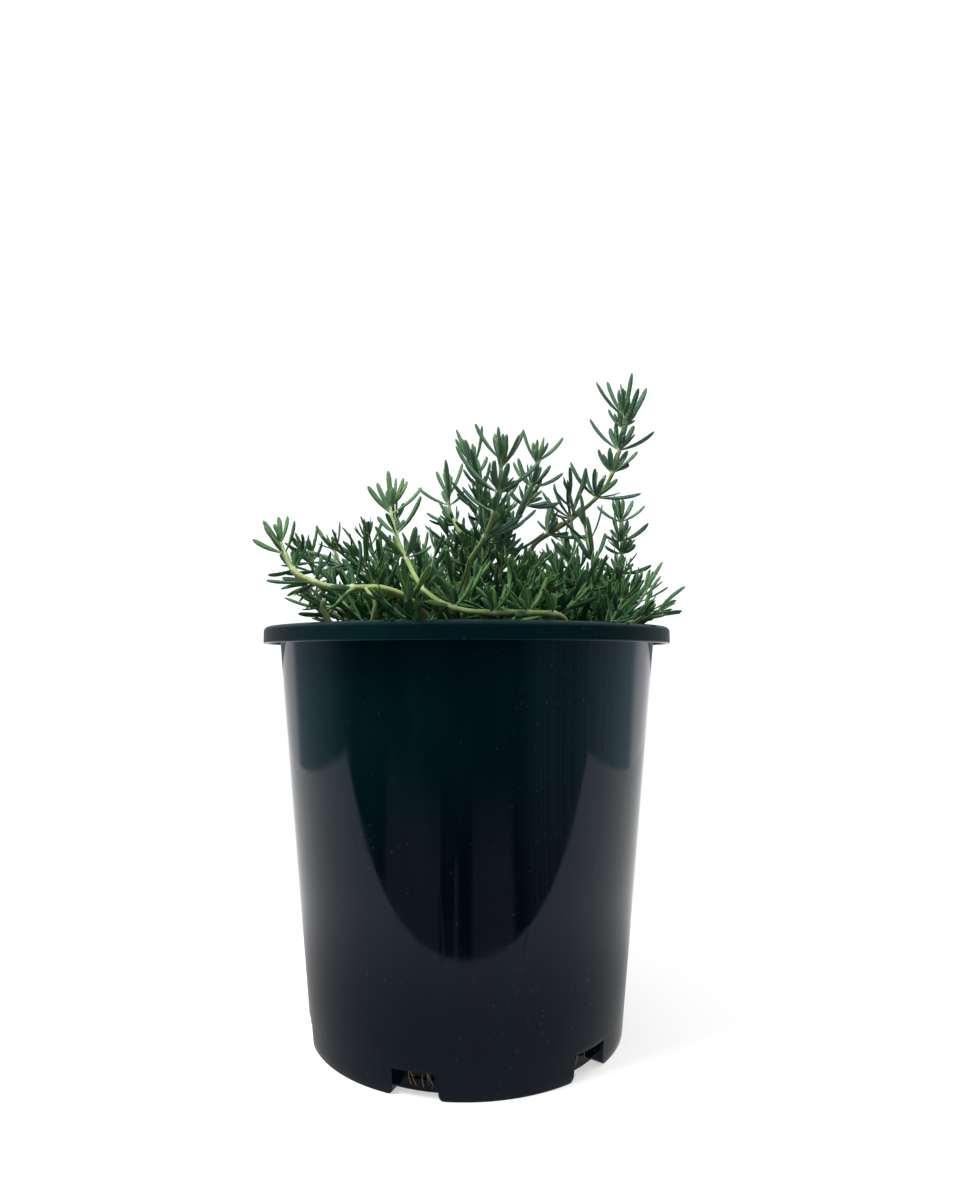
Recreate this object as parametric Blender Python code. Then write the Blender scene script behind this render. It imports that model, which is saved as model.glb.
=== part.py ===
"""Potted creeping rosemary: leafy stems standing in potting mix, in a black nursery pot.

Metres, +Z up. The origin is the middle of the pot's foot, on the surface that it stands on, and -Y is
the front. The stems' routes are given in millimetres.
"""

import math

import bmesh
import bpy
import numpy as np
from mathutils import Vector, noise

MM = 0.001
GAP = 0.3 * MM

POT_HEIGHT = 190.6 * MM
RIM_RADIUS = 100 * MM
RIM_DROP = 8 * MM
RIM_ROUND = 0.9 * MM
NECK_RADIUS = 92.1 * MM
FOOT_RADIUS = 74.85 * MM
WALL = 1.6 * MM
FLOOR_RISE = 2 * MM
POT_SEGMENTS = 60

POCKETS = 6
FIRST_POCKET = math.radians(-106.2)
POCKET_SPAN = math.radians(15)
POCKET_HEIGHT = 10.8 * MM
POCKET_BACK = 68.35 * MM
DRAIN_SPAN = math.radians(10)
DRAIN_BOTTOM, DRAIN_TOP = 4.6 * MM, 9.8 * MM

MIX_TOP = POT_HEIGHT - 18 * MM
MIX_LUMP = 1.1 * MM
MIX_SEGMENTS = 30
MIX_RINGS = (0.84, 0.6, 0.3)
HOLE_SIDES = 6
STEM_FOOT = MIX_TOP - 9 * MM

STEM_SIDES = 4
STEM_STEP = 10 * MM
STEM_END = 0.55  # a stem's last ring, as a share of its radius at the tip
SQUARE = 1.25  # a square stem's corners stand out past a round one of the same size

NEEDLE_LENGTH = 23 * MM
NEEDLE_WIDTH = 2.6 * MM
NEEDLE_ROOT = 1.0 * MM
NEEDLE_THICKNESS = 1.25 * MM
SHOULDER = 0.78  # a needle is widest at this share of its length
BEND = 0.16  # how far it bends towards the stem's tip
SHORT = 0.72  # a bud's leaf beside a full one
LIFT = 0.55  # how strongly the leaves of a lying stem turn up
YOUNG = 13 * MM  # nearer the tip than this, a stem's buds have no leaves yet
FIRST_NODE = 3.5 * MM
TOWARDS = 0.55  # a direction with this share to the front or the back stands clear of the shown leaves
FORWARD_SHORT = 0.45  # how short such leaves are in front, where a long one would hide the stem
LOWEST_LEAF = MIX_TOP + 6 * MM

NEEDLE_RADIUS = 0.46 * NEEDLE_WIDTH
FREE_ROOT = 0.4  # this share of a needle, at its root, may touch its own stem's other needles
BESIDE = 0.5  # how far apart the middles of a stem's own needles stay, as a share of their widths
CLEARANCE = 0.4 * MM
POT_CLEARANCE = 1.7 * MM
TRIES = ((1, 0), (1, 0.3), (1, -0.3), (0.75, 0), (0.75, 0.4), (0.75, -0.4))  # share of length, sway
SEED = 7

POT_BLACK = (0.010, 0.016, 0.018, 1)
MIX_BROWN = (0.035, 0.022, 0.014, 1)
LEAF_GREEN = (0.045, 0.13, 0.065, 1)

# Each leafy stem: the radius at its foot and at its tip, the length in leaf, and its routes from foot to
# tip. The first route starts in the mix, and the others are side shoots that start on the first. All mm.
STEMS = {
    "left_reach": (1.5, 0.9, 62, [
        [(-12, -36), (-13, -41, 181), (-20, -54, 196), (-31, -62, 204), (-43, -62, 206),
         (-57, -60, 206), (-74, -56, 212), (-81, -51, 221), (-85, -47, 229)]]),
    "front_arc": (1.1, 0.8, 118, [
        [(42, -62), (42, -67, 181), (41, -77, 190), (35, -84, 193.4), (19, -90, 193.6),
         (1, -91, 194), (-11, -88, 198), (-19, -82, 205), (-25, -73, 216), (-31, -66, 229),
         (-34, -60, 243)]]),
    "centre_tall": (1.7, 1.1, 42, [
        [(-4, -28), (-4, -30, 181), (-2, -34, 201), (1, -38, 220), (9, -42, 233), (13, -46, 246),
         (15, -48, 258), (15, -48, 267)]]),
    "centre_left": (1.2, 0.8, 52, [
        [(3, -10), (4, -11, 181), (7, -17, 215), (9, -22, 247), (5, -22, 262), (3, -22, 271)]]),
    "centre_right": (1.3, 0.8, 58, [
        [(14, -12), (14, -14, 181), (13, -20, 208), (18, -22, 231), (28, -18, 250), (33, -16, 264),
         (34, -16, 274)]]),
    "left_mid": (1.2, 0.8, 56, [
        [(-3, 8), (-3, 7, 181), (-1, 5, 212), (-2, 4, 236), (-7, 6, 247), (-10, 9, 257),
         (-10, 10, 265)]]),
    "tall_right": (1.5, 0.9, 100, [
        [(24, -2), (24, -3, 181), (26, -7, 210), (33, -8, 232), (48, -4, 243), (63, 0, 255),
         (73, 2, 267), (79, 3, 283), (82, 5, 300), (83, 6, 313)],
        [(55, -2, 248), (53, -6, 254), (51, -10, 260)]]),
    "right_upright": (1.1, 0.8, 72, [
        [(58, 24), (60, 25, 181), (71, 30, 197), (80, 34, 208), (85, 34, 226), (86, 34, 243),
         (85, 34, 259)]]),
    "right_mid": (1.1, 0.8, 56, [
        [(52, -16), (54, -16, 181), (62, -18, 198), (64, -17, 213), (61, -14, 229), (58, -12, 243)]]),
    "right_inner": (1.1, 0.8, 56, [
        [(40, 12), (42, 12, 181), (52, 13, 198), (56, 13, 215), (53, 15, 232), (47, 16, 247)]]),
    "right_low": (1.1, 0.8, 46, [
        [(60, -34), (62, -34, 181), (69, -33, 192), (77, -30, 198), (83, -27, 204), (87, -24, 210)]]),
    "right_over": (1.1, 0.8, 42, [
        [(54, -50), (56, -50, 181), (66, -46, 190), (75, -43, 194.5), (83, -42, 195.5), (90, -40, 197)]]),
    "left_back": (1.4, 0.8, 56, [
        [(-22, 14), (-24, 15, 181), (-36, 20, 208), (-50, 22, 224), (-66, 22, 226), (-78, 21, 220),
         (-86, 19, 212)],
        [(-68, 22, 226), (-71, 22, 231), (-72, 22, 236)],
        [(-80, 20, 219), (-83, 16, 225), (-83, 13, 232)]]),
    "left_low": (1.1, 0.8, 46, [
        [(-34, -38), (-36, -40, 181), (-46, -46, 191), (-56, -49, 197), (-66, -48, 199)]]),
    "front_left": (0.9, 0.7, 22, [
        [(-20, -72), (-21, -74, 181), (-23, -82, 191), (-24, -89, 197), (-22, -95, 201)]]),
    "front_low": (1.0, 0.8, 32, [
        [(-1, -52), (-1, -54, 181), (-5, -60, 197), (-7, -64, 210)]]),
    "front_middle": (1.0, 0.8, 34, [
        [(18, -58), (18, -59, 181), (18, -63, 198), (20, -66, 212)]]),
    "front_right": (1.0, 0.8, 34, [
        [(36, -42), (37, -43, 181), (40, -49, 198), (41, -54, 214)]]),
    "right_front": (1.0, 0.8, 34, [
        [(47, -32), (48, -33, 181), (54, -38, 196), (58, -42, 210)]]),
    "left_inner": (1.0, 0.8, 38, [
        [(-30, -18), (-31, -19, 181), (-38, -26, 202), (-40, -32, 220)]]),
    "left_dark": (1.0, 0.8, 34, [
        [(-12, -10), (-13, -11, 181), (-20, -16, 206), (-24, -20, 226)]]),
    "left_side": (1.2, 0.8, 50, [
        [(-46, 2), (-48, 1, 181), (-59, -1, 193), (-70, -4, 199), (-79, -7, 206)]]),
    "left_middle": (1.0, 0.8, 38, [
        [(-40, -20), (-41, -21, 181), (-50, -26, 195), (-56, -29, 206)]]),
    "left_hidden": (1.0, 0.8, 40, [
        [(-34, 22), (-35, 23, 181), (-45, 33, 199), (-50, 39, 212)]]),
    "left_rear": (1.1, 0.8, 50, [
        [(-46, 36), (-48, 38, 181), (-60, 48, 193), (-70, 56, 199), (-76, 62, 207)]]),
    "back_reach": (1.3, 0.8, 60, [
        [(-16, 38), (-18, 40, 181), (-28, 58, 196), (-36, 76, 203), (-42, 88, 211), (-44, 93, 221)]]),
    "back_over": (1.1, 0.8, 52, [
        [(6, 46), (6, 48, 181), (8, 64, 192), (6, 80, 196), (2, 90, 199)]]),
    "back_right": (1.3, 0.8, 60, [
        [(26, 34), (28, 37, 181), (38, 54, 197), (48, 70, 206), (55, 80, 216), (57, 86, 227)]]),
    "back_tall": (1.3, 0.8, 62, [
        [(4, 24), (4, 25, 181), (5, 31, 208), (8, 36, 232), (12, 38, 250)]]),
    "back_upright": (1.1, 0.8, 56, [
        [(-28, 34), (-28, 35, 181), (-31, 42, 204), (-30, 46, 224)]]),
    "right_side": (1.2, 0.8, 56, [
        [(62, 4), (64, 4, 181), (74, 6, 193), (83, 8, 201), (90, 10, 208)]]),
    "right_rear": (1.1, 0.8, 52, [
        [(50, 44), (52, 46, 181), (62, 54, 194), (72, 60, 203), (77, 62, 213)]]),
    "middle_back": (1.0, 0.8, 40, [
        [(22, 14), (23, 15, 181), (28, 24, 205), (31, 30, 226)]]),
    "middle_left": (1.0, 0.8, 40, [
        [(-10, 22), (-11, 23, 181), (-18, 28, 206), (-22, 28, 226)]]),
}

# The nodes that the photo shows plainly, from each stem's tip down: the distance from the tip, and the
# leaves, as (lean from upright to the right, in degrees; length; how far its end comes forward). All mm.
NODES_SEEN = {
    "left_reach": [
        (2, [(-20, 9, 1), (-10, 13, -4), (10, 13, -2)]),
        (8, [(-35, 19, -4), (-35, 14, 5), (20, 15, 5), (-65, 17, -4)]),
        (18, [(-105, 11, 3), (-10, 9, -3), (20, 17, -2)]),
        (30, [(-90, 19, 7), (-125, 9, 2), (10, 12, -4)]),
        (48, [(-135, 14, 6), (-80, 14, -3), (10, 19, 2), (-15, 10, -5)])],
    "front_arc": [
        (2, [(5, 9, 1), (-5, 17, -2), (25, 15, -7), (20, 15, -3)]),
        (5, [(45, 18, -4), (-40, 16, 0), (-25, 16, -4)]),
        (10, [(20, 11, -7)]),
        (16, [(-45, 12, -4), (-25, 9, 6), (35, 19, 6)]),
        (29, [(-45, 18, 3), (60, 12, -6), (20, 13, 6), (20, 11, 2), (150, 10, 4)]),
        (49, [(40, 12, -3), (20, 13, 3), (5, 14, 8), (30, 12, -5)]),
        (65, [(-80, 11, 2), (-30, 14, 6), (-15, 10, 1), (35, 20, -5), (35, 14, 5)]),
        (81, [(-35, 12, 3), (-20, 10, 5), (35, 14, 5), (25, 13, -4), (0, 10, 0)]),
        (95, [(-20, 14, 5), (30, 17, -4), (0, 10, 1)]),
        (106, [(-20, 11, 4), (10, 9, -3)])],
    "centre_tall": [
        (1, [(5, 12, 1), (-10, 14, -5), (-5, 14, 5), (-35, 20, 2)]),
        (5, [(10, 15, 4), (30, 21, 0), (30, 16, 7)]),
        (16, [(-45, 21, -7), (-40, 30, -4), (-10, 13, 8), (20, 13, 6), (50, 26, -4), (55, 12, -4)]),
        (25, [(-50, 19, -2)]),
        (37, [(60, 18, -3), (70, 19, 3)])],
    "centre_left": [
        (1, [(-20, 13, 2), (-5, 11, -1), (-35, 16, 0), (-25, 21, -4), (10, 21, -3)]),
        (6, [(25, 12, -6), (-20, 13, -7)])],
    "centre_right": [
        (1, [(-5, 11, -3), (20, 10, 2), (30, 13, -4), (45, 20, -4), (-20, 18, 0)]),
        (14, [(-30, 17, -7), (-20, 16, -5), (15, 10, 6), (60, 19, -8), (40, 14, 2)]),
        (24, [(-40, 11, -5), (80, 18, -8), (80, 12, -3)])],
    "left_mid": [
        (4, [(-25, 16, -4), (20, 20, -3)]),
        (9, [(-60, 19, 0), (-25, 9, -2), (40, 12, -5), (-5, 23, 6)]),
        (21, [(-45, 10, 3), (-65, 17, -3), (-75, 15, -6)])],
    "tall_right": [
        (10, [(-20, 22, -4), (10, 23, 3), (-35, 24, -2), (-10, 14, -1), (-5, 15, 1)]),
        (17, [(30, 28, -5), (-25, 14, -6), (20, 21, 7)]),
        (29, [(-40, 23, -2), (60, 22, -2), (0, 17, -7), (30, 14, 4), (-15, 14, -5), (5, 9, 5)]),
        (42, [(-25, 15, -3), (35, 17, -7), (50, 16, 5), (-5, 13, 2)]),
        (58, [(-35, 23, 0), (85, 23, 2), (-15, 17, -5), (5, 15, -5), (50, 13, 6), (25, 15, -7),
              (-5, 14, 6)]),
        (76, [(-45, 21, -4), (-65, 13, -6), (-25, 21, -2), (20, 21, -3), (-5, 18, 4), (175, 13, 9)]),
        (92, [(85, 22, 4), (10, 16, -5)])],
    "right_upright": [
        (7, [(-20, 12, 0), (0, 14, -4), (5, 12, 3), (30, 15, -3), (55, 17, -1), (-55, 16, 0)]),
        (18, [(-35, 9, -3), (20, 14, -6), (-70, 11, 2), (55, 19, -2)]),
        (25, [(-60, 10, -3), (40, 11, -4), (55, 9, 2)]),
        (36, [(20, 10, -5), (-50, 11, 0), (55, 9, 3), (-60, 15, -4), (75, 19, -1)])],
}


def remove_everything():
    for obj in list(bpy.data.objects):
        bpy.data.objects.remove(obj, do_unlink=True)


def finish(name, colour, roughness):
    """A plain surface: its colour and its roughness."""
    material = bpy.data.materials.new(name)
    material.use_nodes = True
    surface = material.node_tree.nodes["Principled BSDF"]
    surface.inputs["Base Color"].default_value = colour
    surface.inputs["Roughness"].default_value = roughness
    surface.inputs["Metallic"].default_value = 0
    return material


def object_of(name, mesh):
    """The bmesh as an object in the scene."""
    data = bpy.data.meshes.new(name)
    mesh.to_mesh(data)
    mesh.free()
    obj = bpy.data.objects.new(name, data)
    bpy.context.scene.collection.objects.link(obj)
    return obj


def boolean(obj, operation, others, solver="EXACT"):
    """Applies one Boolean of all the others to the object, and removes them."""
    group = bpy.data.collections.new(obj.name + "_operands")
    bpy.context.scene.collection.children.link(group)
    for other in others:
        bpy.context.scene.collection.objects.unlink(other)
        group.objects.link(other)
    change = obj.modifiers.new(operation.lower(), "BOOLEAN")
    change.operation = operation
    change.solver = solver
    change.operand_type = "COLLECTION"
    change.collection = group
    graph = bpy.context.evaluated_depsgraph_get()
    changed = bpy.data.meshes.new_from_object(obj.evaluated_get(graph))
    obj.modifiers.clear()
    obj.data = changed
    for other in others:
        bpy.data.objects.remove(other, do_unlink=True)
    bpy.data.collections.remove(group)


def turned(name, profile, segments):
    """The solid that a profile of (radius, height) sweeps about Z. Its two ends lie on the axis."""
    mesh = bmesh.new()
    points = [mesh.verts.new((radius, 0, height)) for radius, height in profile]
    edges = [mesh.edges.new(pair) for pair in zip(points, points[1:])]
    bmesh.ops.spin(
        mesh, geom=points + edges, axis=(0, 0, 1), angle=math.tau, steps=segments, use_merge=True
    )
    bmesh.ops.remove_doubles(mesh, verts=mesh.verts, dist=0.001 * MM)
    bmesh.ops.recalc_face_normals(mesh, faces=mesh.faces)
    return object_of(name, mesh)


def sector(name, section, middle, span, steps=4):
    """A block with this four-cornered section of (radius, height), swept through span about Z."""
    start = middle - span / 2
    mesh = bmesh.new()
    corners = [
        mesh.verts.new((radius * math.cos(start), radius * math.sin(start), height))
        for radius, height in section
    ]
    face = mesh.faces.new(corners)
    bmesh.ops.spin(
        mesh, geom=[face] + face.edges[:] + corners, axis=(0, 0, 1), angle=span, steps=steps
    )
    bmesh.ops.recalc_face_normals(mesh, faces=mesh.faces)
    return object_of(name, mesh)


def body_radius(height):
    """The outside of the pot's body, a straight taper from its foot to its rim."""
    return FOOT_RADIUS + (NECK_RADIUS - FOOT_RADIUS) * height / (POT_HEIGHT - RIM_DROP)


def inner_radius(height):
    return body_radius(height) - WALL


def pocket_middles():
    return [FIRST_POCKET + index * math.tau / POCKETS for index in range(POCKETS)]


def pocket_blocks(name, grown, bottom, front):
    """One block in each pocket's place, grown by this much on its back, sides and roof. Its front is a
    radius for each height."""
    roof = POCKET_HEIGHT + grown
    back = POCKET_BACK - grown
    section = ((back, bottom), (front(bottom), bottom), (front(roof), roof), (back, roof))
    span = POCKET_SPAN + 2 * grown / back
    return [sector(name, section, middle, span) for middle in pocket_middles()]


def middle_of_wall(height):
    return body_radius(height) - WALL / 2


def past_the_wall(height):
    return RIM_RADIUS


def nursery_pot():
    """A tapered shell with a rim turned out and down, and a pocket with a drain slot at each gap
    between its feet."""
    floor = FLOOR_RISE + WALL
    soft = RIM_ROUND * (1 - math.sqrt(0.5))
    skirt = POT_HEIGHT - RIM_DROP
    under = POT_HEIGHT - WALL
    pot = turned("nursery_pot", (
        (0, FLOOR_RISE),
        (FOOT_RADIUS - WALL, FLOOR_RISE),
        (FOOT_RADIUS - WALL, 0),
        (FOOT_RADIUS, 0),
        (body_radius(under), under),
        (RIM_RADIUS - WALL, under),
        (RIM_RADIUS - WALL, skirt),
        (RIM_RADIUS, skirt),
        (RIM_RADIUS, POT_HEIGHT - RIM_ROUND),
        (RIM_RADIUS - soft, POT_HEIGHT - soft),
        (RIM_RADIUS - RIM_ROUND, POT_HEIGHT),
        (inner_radius(POT_HEIGHT) + RIM_ROUND, POT_HEIGHT),
        (inner_radius(POT_HEIGHT), POT_HEIGHT - RIM_ROUND),
        (inner_radius(floor), floor),
        (0, floor),
    ), POT_SEGMENTS)
    boolean(pot, "UNION", pocket_blocks("liner", WALL, 0, middle_of_wall))
    boolean(pot, "DIFFERENCE", pocket_blocks("pocket", 0, -WALL, past_the_wall))
    back, front = POCKET_BACK - 2 * WALL, POCKET_BACK + WALL
    slot = ((back, DRAIN_BOTTOM), (front, DRAIN_BOTTOM), (front, DRAIN_TOP), (back, DRAIN_TOP))
    boolean(pot, "DIFFERENCE", [sector("slot", slot, at, DRAIN_SPAN, 2) for at in pocket_middles()])
    pot.data.shade_smooth()
    pot.data.set_sharp_from_angle(angle=math.radians(30))
    pot.data.materials.append(finish("black plastic", POT_BLACK, 0.2))


def lump(x, y):
    """How far the mix's surface rises or sinks at a point."""
    return MIX_LUMP * noise.noise(Vector((x, y, 0)) / (14 * MM))


def potting_mix(feet):
    """Fills the pot to below its rim, clear of its wall and pockets, with a plain hole for each stem."""
    bottom = FLOOR_RISE + WALL + GAP
    edge = inner_radius(MIX_TOP) - GAP
    mix = turned("potting_mix", (
        (0, bottom),
        (inner_radius(bottom) - GAP, bottom),
        (edge, MIX_TOP),
        *((edge * share, MIX_TOP) for share in MIX_RINGS),
        (0, MIX_TOP),
    ), MIX_SEGMENTS)
    for point in mix.data.vertices:
        if point.co.z > MIX_TOP - GAP and point.co.xy.length < edge - GAP:
            point.co.z += lump(point.co.x, point.co.y)
    boolean(mix, "DIFFERENCE", pocket_blocks("clear", WALL + GAP, -WALL, past_the_wall))
    holes, depth = [], 2 * (MIX_TOP - STEM_FOOT)
    for x, y, radius in feet:
        wide = (SQUARE * radius + GAP) / math.cos(math.pi / HOLE_SIDES)
        hole = bmesh.new()
        bmesh.ops.create_cone(
            hole, cap_ends=True, segments=HOLE_SIDES, radius1=wide, radius2=wide, depth=depth
        )
        bmesh.ops.translate(hole, verts=hole.verts, vec=(x, y, STEM_FOOT - GAP + depth / 2))
        holes.append(object_of("hole", hole))
    boolean(mix, "DIFFERENCE", holes)
    mix.data.materials.append(finish("potting mix", MIX_BROWN, 0.95))


def smooth_route(points, step):
    """A curve through the points, one cubic between each two with the chord of its neighbours as the
    slope, read at an even step."""
    points = np.array(points, float)
    ends = np.vstack([2 * points[0] - points[1], points, 2 * points[-1] - points[-2]])
    share = np.linspace(0, 1, 12, endpoint=False)[:, None]
    pieces = []
    for before, start, end, after in zip(ends, ends[1:], ends[2:], ends[3:]):
        slope, next_slope = (end - before) / 2, (after - start) / 2
        pieces.append(
            start * (2 * share**3 - 3 * share**2 + 1)
            + slope * (share**3 - 2 * share**2 + share)
            + end * (3 * share**2 - 2 * share**3)
            + next_slope * (share**3 - share**2)
        )
    dense = np.vstack(pieces + [points[-1:]])
    along = np.concatenate([[0], np.linalg.norm(np.diff(dense, axis=0), axis=1).cumsum()])
    count = max(3, round(along[-1] / step) + 1)
    even = np.linspace(0, along[-1], count)
    return np.column_stack([np.interp(even, along, dense[:, axis]) for axis in range(3)])


def unit(vectors):
    return vectors / np.linalg.norm(vectors, axis=-1, keepdims=True)


def directions(path):
    return unit(np.gradient(path, axis=0))


def frames(path):
    """Along a path: its direction, and two unit vectors square to it, carried along without twist."""
    along = directions(path)
    level = np.cross(along[0], (0, 1, 0))
    levels = []
    for direction in along:
        level = unit(level - direction * (level @ direction))
        levels.append(level)
    return along, np.array(levels), np.cross(levels, along)


def lofted(name, rings):
    """A closed solid through rings of points, with a flat face at each end. The last ring may be one
    point, where the solid ends."""
    mesh = bmesh.new()
    rows = [[mesh.verts.new(point) for point in ring] for ring in rings]
    for row, following in zip(rows, rows[1:]):
        for index in range(len(row)):
            edge = (row[index - 1], row[index])
            if len(following) == 1:
                mesh.faces.new((*edge, following[0]))
            else:
                mesh.faces.new((*edge, following[index], following[index - 1]))
    mesh.faces.new(rows[0])
    if len(rows[-1]) > 2:
        mesh.faces.new(rows[-1])
    bmesh.ops.recalc_face_normals(mesh, faces=mesh.faces)
    return object_of(name, mesh)


def tube(name, path, radii):
    """A square stem, as in all plants of its family, with its flat sides facing level and rise."""
    corners = (np.arange(STEM_SIDES) + 0.5)[:, None] * math.tau / STEM_SIDES
    return lofted(name, [
        centre + SQUARE * radius * (np.cos(corners) * level + np.sin(corners) * rise)
        for centre, radius, level, rise in zip(path, radii, *frames(path)[1:])
    ])


def needle(path, face):
    """A three-sided blade along a path of three points, flat on the side that faces the stem's tip, with
    a keel beneath. It is narrow at its root, widest at its shoulder, and then runs to a point."""
    rings = []
    for centre, along, wide in zip(path[:-1], directions(path), (NEEDLE_ROOT, NEEDLE_WIDTH)):
        up = unit(face - along * (face @ along))
        side = np.cross(along, up)
        half, deep = wide / 2, wide / NEEDLE_WIDTH * NEEDLE_THICKNESS
        rings.append([
            centre + half * side + deep / 3 * up,
            centre - half * side + deep / 3 * up,
            centre - deep * 2 / 3 * up,
        ])
    return lofted("needle", [*rings, path[-1:]])


def stem_nodes(in_leaf, seen):
    """From the tip down, the distances at which leaves stand, each with the leaves that the photo shows
    there. Where it shows none, the nodes are close at the tip and wider further down."""
    found = [(distance * MM, shown) for distance, shown in seen]
    distance = found[-1][0] + node_spacing(found[-1][0]) if found else FIRST_NODE
    while distance < in_leaf:
        found.append((distance, []))
        distance += node_spacing(distance)
    return found


def node_spacing(distance):
    return (4 + 12 * (1 - math.exp(-distance / (14 * MM)))) * MM


def node_leaves(frame, distance, turn, shown, draw):
    """The leaves of one node, as (direction, length). First the shown ones, and then two long ones face
    to face and, past the young tip, two shorter ones from the buds between them. They stand upright near
    the tip and spread below. Beside shown leaves, only those that point back stay, and short ones that
    point forward."""
    along, level, rise = frame
    for lean, reach, forward in shown:
        lean = math.radians(lean)
        leaf = np.array((math.sin(lean) * reach, -forward, math.cos(lean) * reach)) * MM
        yield unit(unit(leaf) - BEND * along), np.linalg.norm(leaf)
    spread = math.radians(22 + 40 * (1 - math.exp(-distance / (15 * MM))))
    full = NEEDLE_LENGTH * (0.68 + 0.32 * (1 - math.exp(-distance / (12 * MM))))
    flatness = math.sqrt(max(0, 1 - along[2] ** 2))
    for index in range(4) if distance > YOUNG else (0, 2):
        long = index % 2 == 0
        at = turn + index * math.pi / 2 + draw.uniform(-0.2, 0.2)
        lean = spread * (1 if long else SHORT) * draw.uniform(0.85, 1.15)
        out = math.cos(at) * level + math.sin(at) * rise
        direction = math.cos(lean) * along + math.sin(lean) * out
        direction = unit(direction + np.array((0, 0, LIFT * flatness)))
        length = full * (1 if long else SHORT) * draw.uniform(0.88, 1.12)
        if not shown or direction[1] > TOWARDS:
            yield direction, length
        elif direction[1] < -TOWARDS:
            yield direction, length * FORWARD_SHORT


class Room:
    """The stretches of stem and needle already laid, each with its radius and the stem it is part of."""

    def __init__(self):
        self.starts, self.ends = np.empty((0, 3)), np.empty((0, 3))
        self.radii, self.owners = np.empty(0), np.empty(0, int)

    def take(self, owner, path, radius):
        self.starts = np.vstack([self.starts, path[:-1]])
        self.ends = np.vstack([self.ends, path[1:]])
        count = len(path) - 1
        self.radii = np.concatenate([self.radii, np.broadcast_to(radius, count)])
        self.owners = np.concatenate([self.owners, np.full(count, owner)])

    def free(self, owner, path, radius, gap):
        """Whether a path keeps this gap to every stretch of another stem, and lies beside its own stem's
        needles rather than through them."""
        share = np.linspace(0, 1, 9)[:, None]
        points = np.vstack([a + (b - a) * share for a, b in zip(path, path[1:])])
        near = np.linalg.norm(self.starts - points[len(points) // 2], axis=1) < 45 * MM
        starts, spans = self.starts[near], (self.ends - self.starts)[near]
        reach = self.radii[near] + radius
        reach = np.where(self.owners[near] == owner, reach * BESIDE, reach + gap)
        offset = points[:, None] - starts
        share = (offset * spans).sum(2) / (spans**2).sum(1)
        away = np.linalg.norm(offset - np.clip(share, 0, 1)[..., None] * spans, axis=2)
        return bool((away > reach).all())


def clear_of_pot(path):
    """Whether points stay off the mix, the wall and the rim: inside the wall, over the rim or beside it."""
    radius, height = np.hypot(path[:, 0], path[:, 1]), path[:, 2]
    inside = (radius < inner_radius(height) - POT_CLEARANCE) & (height > MIX_TOP + 2 * MM)
    over = height > POT_HEIGHT + POT_CLEARANCE
    outside = (radius > RIM_RADIUS + POT_CLEARANCE) & (height > POT_HEIGHT - RIM_DROP)
    return bool((inside | over | outside).all())


def needle_path(root, direction, length, along):
    """Three points that leave the stem at a slant and bend a little towards its tip."""
    bent = unit(direction + BEND * along)
    return np.array([root, root + unit(direction + bent) * length * SHOULDER, root + bent * length])


def leaves(owner, path, in_leaf, seen, room, draw):
    """The needles of one route. One that would cross something is turned, then shortened, then left out."""
    lengths = np.concatenate([[0], np.linalg.norm(np.diff(path, axis=0), axis=1).cumsum()])
    carried = np.hstack([path, *frames(path)])
    turn = draw.integers(2) * math.pi / 2
    for distance, shown in stem_nodes(min(in_leaf, lengths[-1] - 4 * MM), seen):
        at = lengths[-1] - distance
        read = np.array([np.interp(at, lengths, values) for values in carried.T]).reshape(4, 3)
        root, frame = read[0], unit(read[1:])
        if root[2] < LOWEST_LEAF:
            break
        for direction, length in node_leaves(frame, distance, turn, shown, draw):
            for size, sway in TRIES:
                swayed = unit(direction + sway * np.cross(frame[0], direction))
                route = needle_path(root, swayed, length * size, frame[0])
                outer = np.vstack([root + (route[1] - root) * FREE_ROOT, route[1:]])
                if clear_of_pot(outer) and room.free(owner, outer, NEEDLE_RADIUS, CLEARANCE):
                    room.take(owner, outer, NEEDLE_RADIUS)
                    yield needle(route, frame[0])
                    break
        turn += math.pi / 2


def with_foot(route):
    """The first route begins at the foot of its hole and rises straight until it is out of the mix."""
    (x, y), rest = route[0], route[1:]
    return [(x, y, STEM_FOOT / MM), (x, y, MIX_TOP / MM + 3), *rest]


def leafy_stems():
    """Lays all the stems first, then each stem's needles in what room is left. Each stem is one solid."""
    room, laid = Room(), []
    for owner, (name, (foot, tip, in_leaf, routes)) in enumerate(STEMS.items()):
        routes = [with_foot(routes[0]), *routes[1:]]
        paths = [smooth_route(np.array(route) * MM, STEM_STEP) for route in routes]
        radii = [np.linspace(foot if path is paths[0] else tip, tip, len(path)) * MM for path in paths]
        for radius in radii:
            radius[-1] *= STEM_END
        for path, radius in zip(paths, radii):
            room.take(owner, path, radius[1:])
        laid.append((owner, name, paths, radii, in_leaf * MM))
    green = finish("leaf green", LEAF_GREEN, 0.55)
    for owner, name, paths, radii, in_leaf in laid:
        draw = np.random.default_rng(SEED + owner)
        stem = tube("stem_" + name, paths[0], radii[0])
        parts = [tube("shoot", path, radius) for path, radius in zip(paths[1:], radii[1:])]
        for path in paths:
            seen = NODES_SEEN.get(name, []) if path is paths[0] else []
            parts += leaves(owner, path, in_leaf, seen, room, draw)
        boolean(stem, "UNION", parts, "MANIFOLD")
        stem.data.materials.append(green.copy())
    return [(*paths[0][0, :2], radii[0][0]) for _, _, paths, radii, _ in laid]


remove_everything()
nursery_pot()
potting_mix(leafy_stems())
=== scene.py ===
"""The looks of a potted creeping rosemary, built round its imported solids.

Metres, +Z up. The origin is the middle of the pot's foot, on the surface that it stands on, and -Y is
the front. The stems' routes are given in millimetres.
"""

import math

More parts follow.
